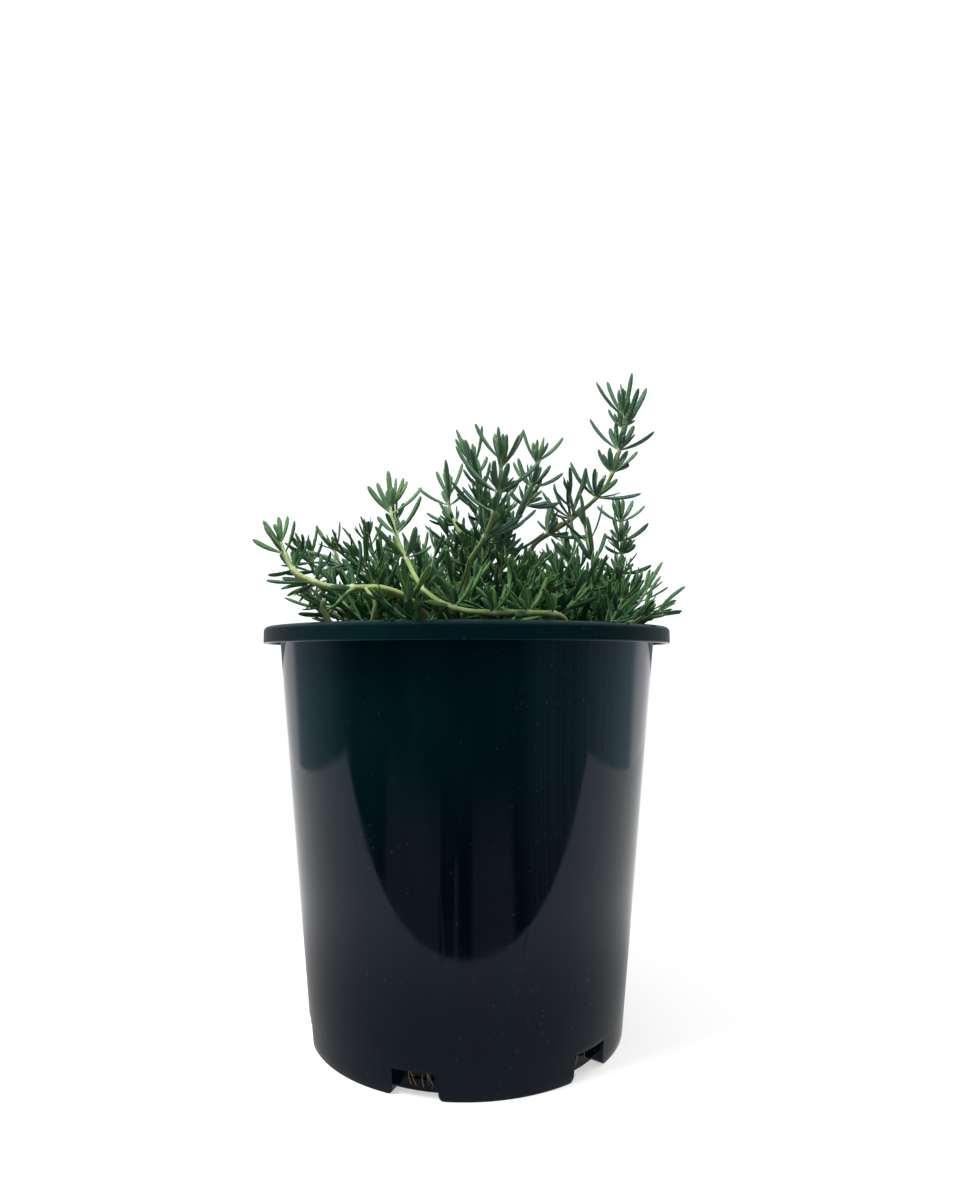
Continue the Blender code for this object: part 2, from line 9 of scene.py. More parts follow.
import bmesh
import bpy
import numpy as np
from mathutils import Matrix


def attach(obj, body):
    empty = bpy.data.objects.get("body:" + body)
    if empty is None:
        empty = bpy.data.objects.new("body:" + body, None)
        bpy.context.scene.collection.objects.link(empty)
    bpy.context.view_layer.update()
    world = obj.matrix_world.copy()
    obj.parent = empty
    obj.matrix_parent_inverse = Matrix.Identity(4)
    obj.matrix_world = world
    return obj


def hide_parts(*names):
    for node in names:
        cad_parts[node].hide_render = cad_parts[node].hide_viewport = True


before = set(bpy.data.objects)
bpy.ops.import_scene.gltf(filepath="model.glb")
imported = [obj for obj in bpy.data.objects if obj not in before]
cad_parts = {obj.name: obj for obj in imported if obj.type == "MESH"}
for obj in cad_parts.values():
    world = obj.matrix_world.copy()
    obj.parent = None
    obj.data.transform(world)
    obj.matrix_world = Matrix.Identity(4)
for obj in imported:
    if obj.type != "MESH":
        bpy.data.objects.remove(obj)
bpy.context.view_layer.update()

MM = 0.001

POT_HEIGHT = 190.6 * MM
RIM_RADIUS = 100 * MM
RIM_DROP = 8 * MM
RIM_ROUND = 0.9 * MM
RIM_SHOULDER = 2.2 * MM
LIP_ROUND = 0.6 * MM
EDGE_ROUND = 0.35 * MM
NECK_RADIUS = 92.1 * MM
FOOT_RADIUS = 74.85 * MM
WALL = 1.6 * MM
NO_AREA = 1e-10  # square metres, below which a face of the pot is left out
FLOOR_RISE = 2 * MM

POCKETS = 6
FIRST_POCKET = math.radians(-106.2)
POCKET_SPAN = math.radians(15)
POCKET_HEIGHT = 10.8 * MM
POCKET_BACK = 68.35 * MM
FOOT_CORNER = 2.4 * MM
DRAIN_SPAN = math.radians(10)
DRAIN_BOTTOM, DRAIN_TOP = 4.6 * MM, 9.8 * MM
PART_LINE = 10.4 * MM  # the height of the mould's part line

MIX_TOP = POT_HEIGHT - 18 * MM
STEM_FOOT = MIX_TOP - 9 * MM

# The needle rule of the solids, which the main leaves follow.
COARSE_STEP = 10 * MM
STEM_END = 0.55
LEAF_LENGTH = 23 * MM
LEAF_WIDTH = 2.6 * MM
SHOULDER = 0.78
BEND = 0.16
SHORT = 0.72
LIFT = 0.55
YOUNG = 13 * MM
FIRST_NODE = 3.5 * MM
TOWARDS = 0.55
FORWARD_SHORT = 0.45
LOWEST_LEAF = MIX_TOP + 6 * MM
LEAF_RADIUS = 0.46 * LEAF_WIDTH
FREE_ROOT = 0.4
BESIDE = 0.5
CLEARANCE = 0.4 * MM
POT_CLEARANCE = 1.7 * MM
TRIES = ((1, 0), (1, 0.3), (1, -0.3), (0.75, 0), (0.75, 0.4), (0.75, -0.4))
SEED = 7

# Each leafy stem: the radius at its foot and at its tip, the length in leaf, and its routes from foot to
# tip. The first route starts in the mix, and the others are side shoots that start on the first. All mm.
STEMS = {
    "left_reach": (1.5, 0.9, 62, [
        [(-12, -36), (-13, -41, 181), (-20, -54, 196), (-31, -62, 204), (-43, -62, 206),
         (-57, -60, 206), (-74, -56, 212), (-81, -51, 221), (-85, -47, 229)]]),
    "front_arc": (1.1, 0.8, 118, [
        [(42, -62), (42, -67, 181), (41, -77, 190), (35, -84, 193.4), (19, -90, 193.6),
         (1, -91, 194), (-11, -88, 198), (-19, -82, 205), (-25, -73, 216), (-31, -66, 229),
         (-34, -60, 243)]]),
    "centre_tall": (1.7, 1.1, 42, [
        [(-4, -28), (-4, -30, 181), (-2, -34, 201), (1, -38, 220), (9, -42, 233), (13, -46, 246),
         (15, -48, 258), (15, -48, 267)]]),
    "centre_left": (1.2, 0.8, 52, [
        [(3, -10), (4, -11, 181), (7, -17, 215), (9, -22, 247), (5, -22, 262), (3, -22, 271)]]),
    "centre_right": (1.3, 0.8, 58, [
        [(14, -12), (14, -14, 181), (13, -20, 208), (18, -22, 231), (28, -18, 250), (33, -16, 264),
         (34, -16, 274)]]),
    "left_mid": (1.2, 0.8, 56, [
        [(-3, 8), (-3, 7, 181), (-1, 5, 212), (-2, 4, 236), (-7, 6, 247), (-10, 9, 257),
         (-10, 10, 265)]]),
    "tall_right": (1.5, 0.9, 100, [
        [(24, -2), (24, -3, 181), (26, -7, 210), (33, -8, 232), (48, -4, 243), (63, 0, 255),
         (73, 2, 267), (79, 3, 283), (82, 5, 300), (83, 6, 313)],
        [(55, -2, 248), (53, -6, 254), (51, -10, 260)]]),
    "right_upright": (1.1, 0.8, 72, [
        [(58, 24), (60, 25, 181), (71, 30, 197), (80, 34, 208), (85, 34, 226), (86, 34, 243),
         (85, 34, 259)]]),
    "right_mid": (1.1, 0.8, 56, [
        [(52, -16), (54, -16, 181), (62, -18, 198), (64, -17, 213), (61, -14, 229), (58, -12, 243)]]),
    "right_inner": (1.1, 0.8, 56, [
        [(40, 12), (42, 12, 181), (52, 13, 198), (56, 13, 215), (53, 15, 232), (47, 16, 247)]]),
    "right_low": (1.1, 0.8, 46, [
        [(60, -34), (62, -34, 181), (69, -33, 192), (77, -30, 198), (83, -27, 204), (87, -24, 210)]]),
    "right_over": (1.1, 0.8, 42, [
        [(54, -50), (56, -50, 181), (66, -46, 190), (75, -43, 194.5), (83, -42, 195.5), (90, -40, 197)]]),
    "left_back": (1.4, 0.8, 56, [
        [(-22, 14), (-24, 15, 181), (-36, 20, 208), (-50, 22, 224), (-66, 22, 226), (-78, 21, 220),
         (-86, 19, 212)],
        [(-68, 22, 226), (-71, 22, 231), (-72, 22, 236)],
        [(-80, 20, 219), (-83, 16, 225), (-83, 13, 232)]]),
    "left_low": (1.1, 0.8, 46, [
        [(-34, -38), (-36, -40, 181), (-46, -46, 191), (-56, -49, 197), (-66, -48, 199)]]),
    "front_left": (0.9, 0.7, 22, [
        [(-20, -72), (-21, -74, 181), (-23, -82, 191), (-24, -89, 197), (-22, -95, 201)]]),
    "front_low": (1.0, 0.8, 32, [
        [(-1, -52), (-1, -54, 181), (-5, -60, 197), (-7, -64, 210)]]),
    "front_middle": (1.0, 0.8, 34, [
        [(18, -58), (18, -59, 181), (18, -63, 198), (20, -66, 212)]]),
    "front_right": (1.0, 0.8, 34, [
        [(36, -42), (37, -43, 181), (40, -49, 198), (41, -54, 214)]]),
    "right_front": (1.0, 0.8, 34, [
        [(47, -32), (48, -33, 181), (54, -38, 196), (58, -42, 210)]]),
    "left_inner": (1.0, 0.8, 38, [
        [(-30, -18), (-31, -19, 181), (-38, -26, 202), (-40, -32, 220)]]),
    "left_dark": (1.0, 0.8, 34, [
        [(-12, -10), (-13, -11, 181), (-20, -16, 206), (-24, -20, 226)]]),
    "left_side": (1.2, 0.8, 50, [
        [(-46, 2), (-48, 1, 181), (-59, -1, 193), (-70, -4, 199), (-79, -7, 206)]]),
    "left_middle": (1.0, 0.8, 38, [
        [(-40, -20), (-41, -21, 181), (-50, -26, 195), (-56, -29, 206)]]),
    "left_hidden": (1.0, 0.8, 40, [
        [(-34, 22), (-35, 23, 181), (-45, 33, 199), (-50, 39, 212)]]),
    "left_rear": (1.1, 0.8, 50, [
        [(-46, 36), (-48, 38, 181), (-60, 48, 193), (-70, 56, 199), (-76, 62, 207)]]),
    "back_reach": (1.3, 0.8, 60, [
        [(-16, 38), (-18, 40, 181), (-28, 58, 196), (-36, 76, 203), (-42, 88, 211), (-44, 93, 221)]]),
    "back_over": (1.1, 0.8, 52, [
        [(6, 46), (6, 48, 181), (8, 64, 192), (6, 80, 196), (2, 90, 199)]]),
    "back_right": (1.3, 0.8, 60, [
        [(26, 34), (28, 37, 181), (38, 54, 197), (48, 70, 206), (55, 80, 216), (57, 86, 227)]]),
    "back_tall": (1.3, 0.8, 62, [
        [(4, 24), (4, 25, 181), (5, 31, 208), (8, 36, 232), (12, 38, 250)]]),
    "back_upright": (1.1, 0.8, 56, [
        [(-28, 34), (-28, 35, 181), (-31, 42, 204), (-30, 46, 224)]]),
    "right_side": (1.2, 0.8, 56, [
        [(62, 4), (64, 4, 181), (74, 6, 193), (83, 8, 201), (90, 10, 208)]]),
    "right_rear": (1.1, 0.8, 52, [
        [(50, 44), (52, 46, 181), (62, 54, 194), (72, 60, 203), (77, 62, 213)]]),
    "middle_back": (1.0, 0.8, 40, [
        [(22, 14), (23, 15, 181), (28, 24, 205), (31, 30, 226)]]),
    "middle_left": (1.0, 0.8, 40, [
        [(-10, 22), (-11, 23, 181), (-18, 28, 206), (-22, 28, 226)]]),
}

# The nodes that the photo shows plainly, from each stem's tip down: the distance from the tip, and the
# leaves, as (lean from upright to the right, in degrees; length; how far its end comes forward). All mm.
NODES_SEEN = {
    "left_reach": [
        (2, [(-20, 9, 1), (-10, 13, -4), (10, 13, -2)]),
        (8, [(-35, 19, -4), (-35, 14, 5), (20, 15, 5), (-65, 17, -4)]),
        (18, [(-105, 11, 3), (-10, 9, -3), (20, 17, -2)]),
        (30, [(-90, 19, 7), (-125, 9, 2), (10, 12, -4)]),
        (48, [(-135, 14, 6), (-80, 14, -3), (10, 19, 2), (-15, 10, -5)])],
    "front_arc": [
        (2, [(5, 9, 1), (-5, 17, -2), (25, 15, -7), (20, 15, -3)]),
        (5, [(45, 18, -4), (-40, 16, 0), (-25, 16, -4)]),
        (10, [(20, 11, -7)]),
        (16, [(-45, 12, -4), (-25, 9, 6), (35, 19, 6)]),
        (29, [(-45, 18, 3), (60, 12, -6), (20, 13, 6), (20, 11, 2), (150, 10, 4)]),
        (49, [(40, 12, -3), (20, 13, 3), (5, 14, 8), (30, 12, -5)]),
        (65, [(-80, 11, 2), (-30, 14, 6), (-15, 10, 1), (35, 20, -5), (35, 14, 5)]),
        (81, [(-35, 12, 3), (-20, 10, 5), (35, 14, 5), (25, 13, -4), (0, 10, 0)]),
        (95, [(-20, 14, 5), (30, 17, -4), (0, 10, 1)]),
        (106, [(-20, 11, 4), (10, 9, -3)])],
    "centre_tall": [
        (1, [(5, 12, 1), (-10, 14, -5), (-5, 14, 5), (-35, 20, 2)]),
        (5, [(10, 15, 4), (30, 21, 0), (30, 16, 7)]),
        (16, [(-45, 21, -7), (-40, 30, -4), (-10, 13, 8), (20, 13, 6), (50, 26, -4), (55, 12, -4)]),
        (25, [(-50, 19, -2)]),
        (37, [(60, 18, -3), (70, 19, 3)])],
    "centre_left": [
        (1, [(-20, 13, 2), (-5, 11, -1), (-35, 16, 0), (-25, 21, -4), (10, 21, -3)]),
        (6, [(25, 12, -6), (-20, 13, -7)])],
    "centre_right": [
        (1, [(-5, 11, -3), (20, 10, 2), (30, 13, -4), (45, 20, -4), (-20, 18, 0)]),
        (14, [(-30, 17, -7), (-20, 16, -5), (15, 10, 6), (60, 19, -8), (40, 14, 2)]),
        (24, [(-40, 11, -5), (80, 18, -8), (80, 12, -3)])],
    "left_mid": [
        (4, [(-25, 16, -4), (20, 20, -3)]),
        (9, [(-60, 19, 0), (-25, 9, -2), (40, 12, -5), (-5, 23, 6)]),
        (21, [(-45, 10, 3), (-65, 17, -3), (-75, 15, -6)])],
    "tall_right": [
        (10, [(-20, 22, -4), (10, 23, 3), (-35, 24, -2), (-10, 14, -1), (-5, 15, 1)]),
        (17, [(30, 28, -5), (-25, 14, -6), (20, 21, 7)]),
        (29, [(-40, 23, -2), (60, 22, -2), (0, 17, -7), (30, 14, 4), (-15, 14, -5), (5, 9, 5)]),
        (42, [(-25, 15, -3), (35, 17, -7), (50, 16, 5), (-5, 13, 2)]),
        (58, [(-35, 23, 0), (85, 23, 2), (-15, 17, -5), (5, 15, -5), (50, 13, 6), (25, 15, -7),
              (-5, 14, 6)]),
        (76, [(-45, 21, -4), (-65, 13, -6), (-25, 21, -2), (20, 21, -3), (-5, 18, 4), (175, 13, 9)]),
        (92, [(85, 22, 4), (10, 16, -5)])],
    "right_upright": [
        (7, [(-20, 12, 0), (0, 14, -4), (5, 12, 3), (30, 15, -3), (55, 17, -1), (-55, 16, 0)]),
        (18, [(-35, 9, -3), (20, 14, -6), (-70, 11, 2), (55, 19, -2)]),
        (25, [(-60, 10, -3), (40, 11, -4), (55, 9, 2)]),
        (36, [(20, 10, -5), (-50, 11, 0), (55, 9, 3), (-60, 15, -4), (75, 19, -1)])],
}

# How green or woody each stem's bark is, from 0, pale yellow-green, over 0.5, olive, to 1, brown wood.
BARK = {"left_reach": 0.0, "front_arc": 0.05, "centre_tall": 0.42, "tall_right": 0.5, "centre_right": 0.45,
        "left_back": 0.25, "left_mid": 0.35, "right_mid": 0.4}
PLAIN_BARK = 0.55

# The stretches of stem that stay in view from the front: their lowest and highest points. All mm.
IN_VIEW = {"left_reach": (200, 240), "front_arc": (188, 245), "centre_tall": (206, 229),
           "tall_right": (226, 275)}
FRONT_VIEW = np.array((0, -401.97, 174.93)) * MM  # the camera's place
FULLER = {"left_reach": 1.32, "front_arc": 1.2}
FRESH = {"front_arc": 0.32, "front_low": 0.35, "front_middle": 0.35, "front_right": 0.35}

# Bare twigs and stubs that the photo shows, each with the stem it is grown from: the radius at its start
# and its end, its bark, and its route. All mm.
TWIGS = {
    "left_low": [(1.3, 1.4, 0.3, [(-57, -48, 176), (-60, -51, 187), (-62.6, -52, 195), (-64.4, -52, 198),
                                  (-63.5, -52, 201)])],
    "left_reach": [
        (0.8, 0.7, 0.1, [(-44, -62, 206), (-42, -67, 203.6), (-39.6, -68, 200), (-39, -68, 197),
                         (-40.3, -67, 193), (-41, -64, 184)]),
        (0.9, 0.7, 0.2, [(-48, -62, 206), (-50, -64, 204.8), (-53, -64, 202), (-56, -64, 199),
                         (-59, -62, 195)])],
    "left_mid": [(1.1, 1.4, 0.4, [(-7, 5, 247), (-6.6, -6, 245.5), (-5.2, -13, 241.5), (-3.3, -16, 237)])],
}

# Stems that stand bare below their leaves. The others get older leaves and short side shoots there.
BARE_BELOW = ("left_reach", "front_arc", "centre_tall", "tall_right")
LOWER_STEP = 8 * MM
SHOOT_STEP = 6 * MM
SHOOT_PAIRS = 5 * MM
SHOOT_TRIES = 8
SHOOT_REACH = 96 * MM
SHOOT_TOPS = np.array([(-100, -60, 8, 60, 100), (232, 243, 254, 220, 202)]) * MM  # the mound's outline


# Meshes

def smooth_step(share):
    """From 0 to 1, level at both ends: 3t^2 - 2t^3."""
    return share * share * (3 - 2 * share)


def grid_faces(rows, columns, wrap=True):
    """Four-cornered faces between neighbouring rows and columns of a grid of points, counted row by row.
    With wrap, the last column joins the first."""
    row = np.arange(rows - 1)[:, None] * columns
    column = np.arange(columns if wrap else columns - 1)
    after = (column + 1) % columns
    corners = (row + column, row + after, row + columns + after, row + columns + column)
    return np.stack(corners, axis=-1).reshape(-1, 4)


def fan_faces(pole, row_start, columns, flip):
    """Triangles from a pole's point to each side of a closed row."""
    column = np.arange(columns)
    first, second = row_start + column, row_start + (column + 1) % columns
    ends = (second, first) if flip else (first, second)
    return np.stack((np.full(columns, pole), *ends), axis=-1)


def tube_faces(rows, columns):
    """The faces of a closed tube: the grid of its rows, and at each end a fan to one of the two points
    that come after them."""
    poles = rows * columns
    fans = (fan_faces(poles, 0, columns, True), fan_faces(poles + 1, poles - columns, columns, False))
    return grid_faces(rows, columns), np.vstack(fans)


def mesh_piece(name, points, quads, triangles, material, attributes=None, sharp=None, weld=False):
    """A piece of the object: its points, its faces, its material, and named values at its points. With
    weld, points at the same place become one, so that seams are closed."""
    mesh = bpy.data.meshes.new(name)
    mesh.vertices.add(len(points))
    mesh.vertices.foreach_set("co", np.ascontiguousarray(points, np.float32).ravel())
    corners = np.concatenate([np.ravel(quads), np.ravel(triangles)]).astype(np.int32)
    sizes = np.concatenate([np.full(len(quads), 4), np.full(len(triangles), 3)])
    mesh.loops.add(len(corners))
    mesh.loops.foreach_set("vertex_index", corners)
    mesh.polygons.add(len(sizes))
    starts = np.concatenate([[0], sizes.cumsum()[:-1]]).astype(np.int32)
    mesh.polygons.foreach_set("loop_start", starts)
    mesh.update(calc_edges=True)
    if weld:
        form = bmesh.new()
        form.from_mesh(mesh)
        bmesh.ops.remove_doubles(form, verts=form.verts, dist=0.001 * MM)
        form.to_mesh(mesh)
        form.free()
    for key, values in (attributes or {}).items():
        kind = "FLOAT_VECTOR" if values.ndim == 2 else "FLOAT"
        layer = mesh.attributes.new(key, kind, "POINT")
        layer.data.foreach_set("vector" if values.ndim == 2 else "value", values.astype(np.float32).ravel())
    mesh.shade_smooth()
    if sharp is not None:
        mesh.set_sharp_from_angle(angle=math.radians(sharp))
    mesh.materials.append(material)
    obj = bpy.data.objects.new(name, mesh)
    bpy.context.scene.collection.objects.link(obj)
    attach(obj, "root")
    return obj


def lattice_noise(points, scale, seed):
    """Smooth noise from -1 to 1: a random value at each corner of a cubic lattice of this scale, blended
    between the eight corners round a point with the smooth step 3t^2 - 2t^3."""
    table = np.random.default_rng(seed).uniform(-1, 1, 4096)
    place = np.asarray(points) / scale
    cell = np.floor(place).astype(np.int64)
    share = smooth_step(place - cell)
    total = np.zeros(place.shape[:-1])
    for corner in np.ndindex(2, 2, 2):
        at = cell + corner
        value = table[(at[..., 0] * 73 + at[..., 1] * 1031 + at[..., 2] * 409) % 4096]
        weight = np.where(np.array(corner), share, 1 - share).prod(axis=-1)
        total += value * weight
    return total


# Materials

class Nodes:
    """A material's node tree with short calls for the nodes that the finishes here are made of."""

    def __init__(self, name):
        self.material = bpy.data.materials.new(name)
        self.material.use_nodes = True
        self.tree = self.material.node_tree
        self.shader = self.tree.nodes["Principled BSDF"]

    def join(self, source, target):
        self.tree.links.new(source, target)

    def node(self, kind, inputs=None, **settings):
        made = self.tree.nodes.new("ShaderNode" + kind)
        for key, value in settings.items():
            setattr(made, key, value)
        for key, value in (inputs or {}).items():
            if isinstance(value, bpy.types.NodeSocket):
                self.join(value, made.inputs[key])
            else:
                made.inputs[key].default_value = value
        return made

    def place(self, scale=(1, 1, 1)):
        """The point on the object, in metres times scale."""
        coordinates = self.node("TexCoord").outputs["Object"]
        return self.node("Mapping", {"Vector": coordinates, "Scale": scale}).outputs["Vector"]

    def part(self, vector, index):
        """One of the three numbers of a vector or colour."""
        return self.node("SeparateXYZ", {0: vector}).outputs[index]

    def value(self, name, part=None):
        """A named value of the mesh, or one part of a named vector."""
        found = self.node("Attribute", attribute_name=name)
        if part is None:
            return found.outputs["Fac"]
        return self.part(found.outputs["Vector"], "XYZ".index(part))

    def noise(self, scale, detail=4, roughness=0.5, place=None, distortion=0.0):
        return self.node("TexNoise", {
            "Vector": place or self.place(), "Scale": scale, "Detail": detail,
            "Roughness": roughness, "Distortion": distortion,
        }).outputs["Fac"]

    def span(self, value, low, high, to_low=0.0, to_high=1.0, smooth=True):
        """Value carried from low..high to another span, and held at its ends."""
        return self.node("MapRange", {
            "Value": value, "From Min": low, "From Max": high, "To Min": to_low, "To Max": to_high,
        }, interpolation_type="SMOOTHSTEP" if smooth else "LINEAR").outputs["Result"]

    def math(self, operation, first, second=0.0):
        return self.node("Math", {0: first, 1: second}, operation=operation).outputs[0]

    def times(self, first, *others):
        """The product of two or more numbers."""
        for other in others:
            first = self.math("MULTIPLY", first, other)
        return first

    def mix(self, share, first, second):
        """Between two colours, by a share."""
        made = self.node("Mix", {"Factor": share}, data_type="RGBA")
        for index, colour in ((6, first), (7, second)):
            if isinstance(colour, bpy.types.NodeSocket):
                self.join(colour, made.inputs[index])
            else:
                made.inputs[index].default_value = (*colour, 1)
        return made.outputs[2]

    def specks(self, scale, size, rarity):
        """Small round specks, one to a cell of this many to the metre, of which few are kept."""
        cells = self.node("TexVoronoi", {"Vector": self.place(), "Scale": scale, "Randomness": 1.0})
        pick = self.part(cells.outputs["Color"], 0)
        return self.times(self.span(cells.outputs["Distance"], size, size * 0.55),
                          self.span(pick, rarity, rarity + 0.01))

    def bump(self, height, distance, strength=1.0, normal=None):
        inputs = {"Height": height, "Distance": distance, "Strength": strength}
        if normal is not None:
            inputs["Normal"] = normal
        return self.node("Bump", inputs).outputs["Normal"]

    def finish(self, colour, roughness, normal=None, **constants):
        for key, value in (("Base Color", colour), ("Roughness", roughness), ("Normal", normal)):
            if isinstance(value, bpy.types.NodeSocket):
                self.join(value, self.shader.inputs[key])
            elif value is not None:
                self.shader.inputs[key].default_value = value
        for key, value in constants.items():
            self.shader.inputs[key.replace("_", " ")].default_value = value
        return self.material

    def shine(self, shader):
        """Another shader in place of the usual one, for what stands round the object."""
        self.tree.nodes.remove(self.shader)
        self.join(shader, self.tree.nodes["Material Output"].inputs["Surface"])
        return self.material


def black_plastic():
    """Glossy moulded plastic, nearly black with a cold green cast: faint flow streaks up the wall, thin
    handling scratches, rings left by dried drops, dust specks, and the mould's part line round the foot."""
    n = Nodes("black plastic")
    streaks = n.noise(60, 3, place=n.place((1, 1, 0.06)))
    grime = n.noise(26, 6, 0.62)
    patches = n.span(n.noise(9, 2), 0.3, 0.7)
    height = n.part(n.place(), 2)
    green = n.mix(n.span(streaks, 0.35, 0.7), (0.0003, 0.0098, 0.0110), (0.0008, 0.0132, 0.0150))
    blue = n.mix(n.span(streaks, 0.35, 0.7), (0.0003, 0.0018, 0.0036), (0.0009, 0.0032, 0.0060))
    # Painted shade: the base colour is darker and bluer at the foot and greener high on the wall.
    colour = n.mix(n.span(height, 75 * MM, 170 * MM), blue, green)
    colour = n.mix(n.times(patches, 0.4), colour, (0.0022, 0.0042, 0.0090))
    dust = n.specks(760, 0.12, 0.955)
    drops = n.node("TexVoronoi", {"Vector": n.place(), "Scale": 380, "Randomness": 1.0})
    away = drops.outputs["Distance"]
    kept = n.span(n.part(drops.outputs["Color"], 1), 0.72, 0.76)
    ring = n.times(n.span(away, 0.20, 0.24), n.span(away, 0.31, 0.26))
    sideways = n.part(n.place(), 0)
    band = n.times(n.span(sideways, 5 * MM, 25 * MM), n.span(sideways, 75 * MM, 50 * MM))
    ring = n.times(ring, kept, n.span(grime, 0.42, 0.58), band)
    colour = n.mix(n.times(ring, 0.07), colour, (0.30, 0.36, 0.38))
    colour = n.mix(n.times(dust, 0.5), colour, (0.34, 0.36, 0.36))
    scratches = n.noise(150, 2, place=n.place((1, 1, 0.14)), distortion=1.2)
    worn = n.span(scratches, 0.64, 0.72)
    roughness = n.math("ADD", n.span(grime, 0.4, 0.75, 0.05, 0.13), n.times(worn, 0.10))
    marks = n.math("MAXIMUM", dust, n.times(ring, 0.3))
    roughness = n.math("ADD", roughness, n.times(marks, 0.3))
    line = n.span(n.math("ABSOLUTE", n.math("SUBTRACT", height, PART_LINE)), 0.5 * MM, 0.1 * MM)
    wavy = n.bump(n.noise(38, 1, place=n.place((1, 1, 0.35))), 0.35 * MM, 0.3)
    fine = n.bump(n.times(worn, -1.0), 0.02 * MM, 0.5, wavy)
    seam = n.bump(n.times(line, -1.0), 0.12 * MM, 0.5, fine)
    return n.finish(colour, roughness, seam, IOR=1.46, Specular_IOR_Level=0.34,
                    Specular_Tint=(0.72, 0.84, 1.0, 1))


def leaf_finish():
    """Leathery leaves. Above, deep green with a paler line in the groove and a waxy gloss; below, grey-green
    felt with a rib. Young leaves are yellower, and each leaf has its own tone. Painted light makes leaves
    high on the plant lighter, and painted shade makes leaves low down darker."""
    n = Nodes("rosemary leaf")
    across, along = n.value("leaf_place", "X"), n.value("leaf_place", "Y")
    under = n.value("leaf_place", "Z")
    tone, young, faded = (n.value("leaf_kind", part) for part in "XYZ")
    from_rib = n.math("ABSOLUTE", across)
    mottle = n.noise(420, 3)
    upper = n.mix(tone, (0.002, 0.029, 0.018), (0.027, 0.078, 0.045))
    upper = n.mix(n.times(n.span(mottle, 0.35, 0.75), 0.15), upper, (0.050, 0.115, 0.065))
    height = n.part(n.place(), 2)
    # Painted light and shade by height: leaves high on the plant are mixed towards lighter greens, and
    # leaves low down towards darker ones.
    high = n.times(n.span(height, 205 * MM, 285 * MM), 0.65)
    low = n.times(n.span(height, 240 * MM, 200 * MM), 0.7)
    upper = n.mix(high, upper, n.mix(tone, (0.036, 0.086, 0.062), (0.100, 0.175, 0.128)))
    upper = n.mix(low, upper, n.mix(tone, (0.000, 0.028, 0.015), (0.026, 0.085, 0.020)))
    # Painted light: young leaves high on the plant are paler and greyer.
    fresh = n.mix(high, (0.12, 0.22, 0.045), (0.14, 0.24, 0.115))
    upper = n.mix(n.times(young, 0.7), upper, fresh)
    groove = n.times(n.span(from_rib, 0.24, 0.04), 0.45)
    upper = n.mix(groove, upper, (0.14, 0.24, 0.12))
    below = n.mix(tone, (0.05, 0.12, 0.075), (0.10, 0.19, 0.12))
    below = n.mix(n.times(n.span(mottle, 0.3, 0.7), 0.3), below, (0.17, 0.24, 0.15))
    below = n.mix(n.span(from_rib, 0.12, 0.05), below, (0.09, 0.19, 0.07))
    # Painted shade: undersides low down are darker.
    below = n.mix(low, below, (0.015, 0.065, 0.025))
    colour = n.mix(n.span(under, 0.35, 0.75), upper, below)
    # Leaf bases are pale, but the pale fades out low down along with the painted shade.
    base = n.times(n.span(along, 0.24, 0.04), n.math("SUBTRACT", 1.0, n.times(low, 0.9)))
    colour = n.mix(base, colour, (0.26, 0.36, 0.19))
    tip = n.times(n.span(along, 0.93, 1.0), 0.5)
    colour = n.mix(tip, colour, (0.07, 0.09, 0.03))
    colour = n.mix(n.times(faded, 0.8), colour, (0.24, 0.22, 0.06))
    pits = n.noise(1500, 2)
    normal = n.bump(pits, 0.01 * MM, 0.1)
    normal = n.bump(n.noise(260, 1), 0.1 * MM, 0.12, normal)
    rough = n.math("ADD", n.span(under, 0.3, 0.7, 0.30, 0.72), n.span(mottle, 0.3, 0.7, -0.05, 0.08))
    return n.finish(colour, rough, normal, Subsurface_Weight=0.25, Subsurface_Radius=(0.0006, 0.001, 0.0003),
                    Subsurface_Scale=1.0, Specular_IOR_Level=0.42, Specular_Tint=(0.72, 1.0, 0.86, 1))


def bark_finish():
    """The skin of the stems, by age: pale yellow-green and smooth, then olive, then brown and furrowed,
    with a whitish ring where the leaves stood."""
    n = Nodes("rosemary bark")
    age, ring, fresh = (n.value("bark", part) for part in "XYZ")
    streak = n.noise(500, 3, place=n.place((1, 1, 0.3)))
    pale = n.mix(streak, (0.19, 0.25, 0.062), (0.36, 0.43, 0.135))
    olive = n.mix(streak, (0.07, 0.12, 0.03), (0.16, 0.22, 0.075))
    wood = n.mix(streak, (0.030, 0.032, 0.016), (0.11, 0.095, 0.055))
    colour = n.mix(n.span(age, 0.0, 0.5, smooth=False), pale, olive)
    colour = n.mix(n.span(age, 0.55, 1.0, smooth=False), colour, wood)
    colour = n.mix(n.times(fresh, 0.8), colour, (0.15, 0.235, 0.12))
    colour = n.mix(n.times(ring, 0.5), colour, (0.44, 0.52, 0.36))
    height = n.times(streak, n.span(age, 0.2, 1.0, 0.25, 1.0))
    normal = n.bump(height, 0.4 * MM, 0.6)
    return n.finish(colour, n.span(age, 0.0, 1.0, 0.48, 0.85), normal, Subsurface_Weight=0.08,
                    Subsurface_Radius=(0.001, 0.001, 0.0005), Subsurface_Scale=1.0)


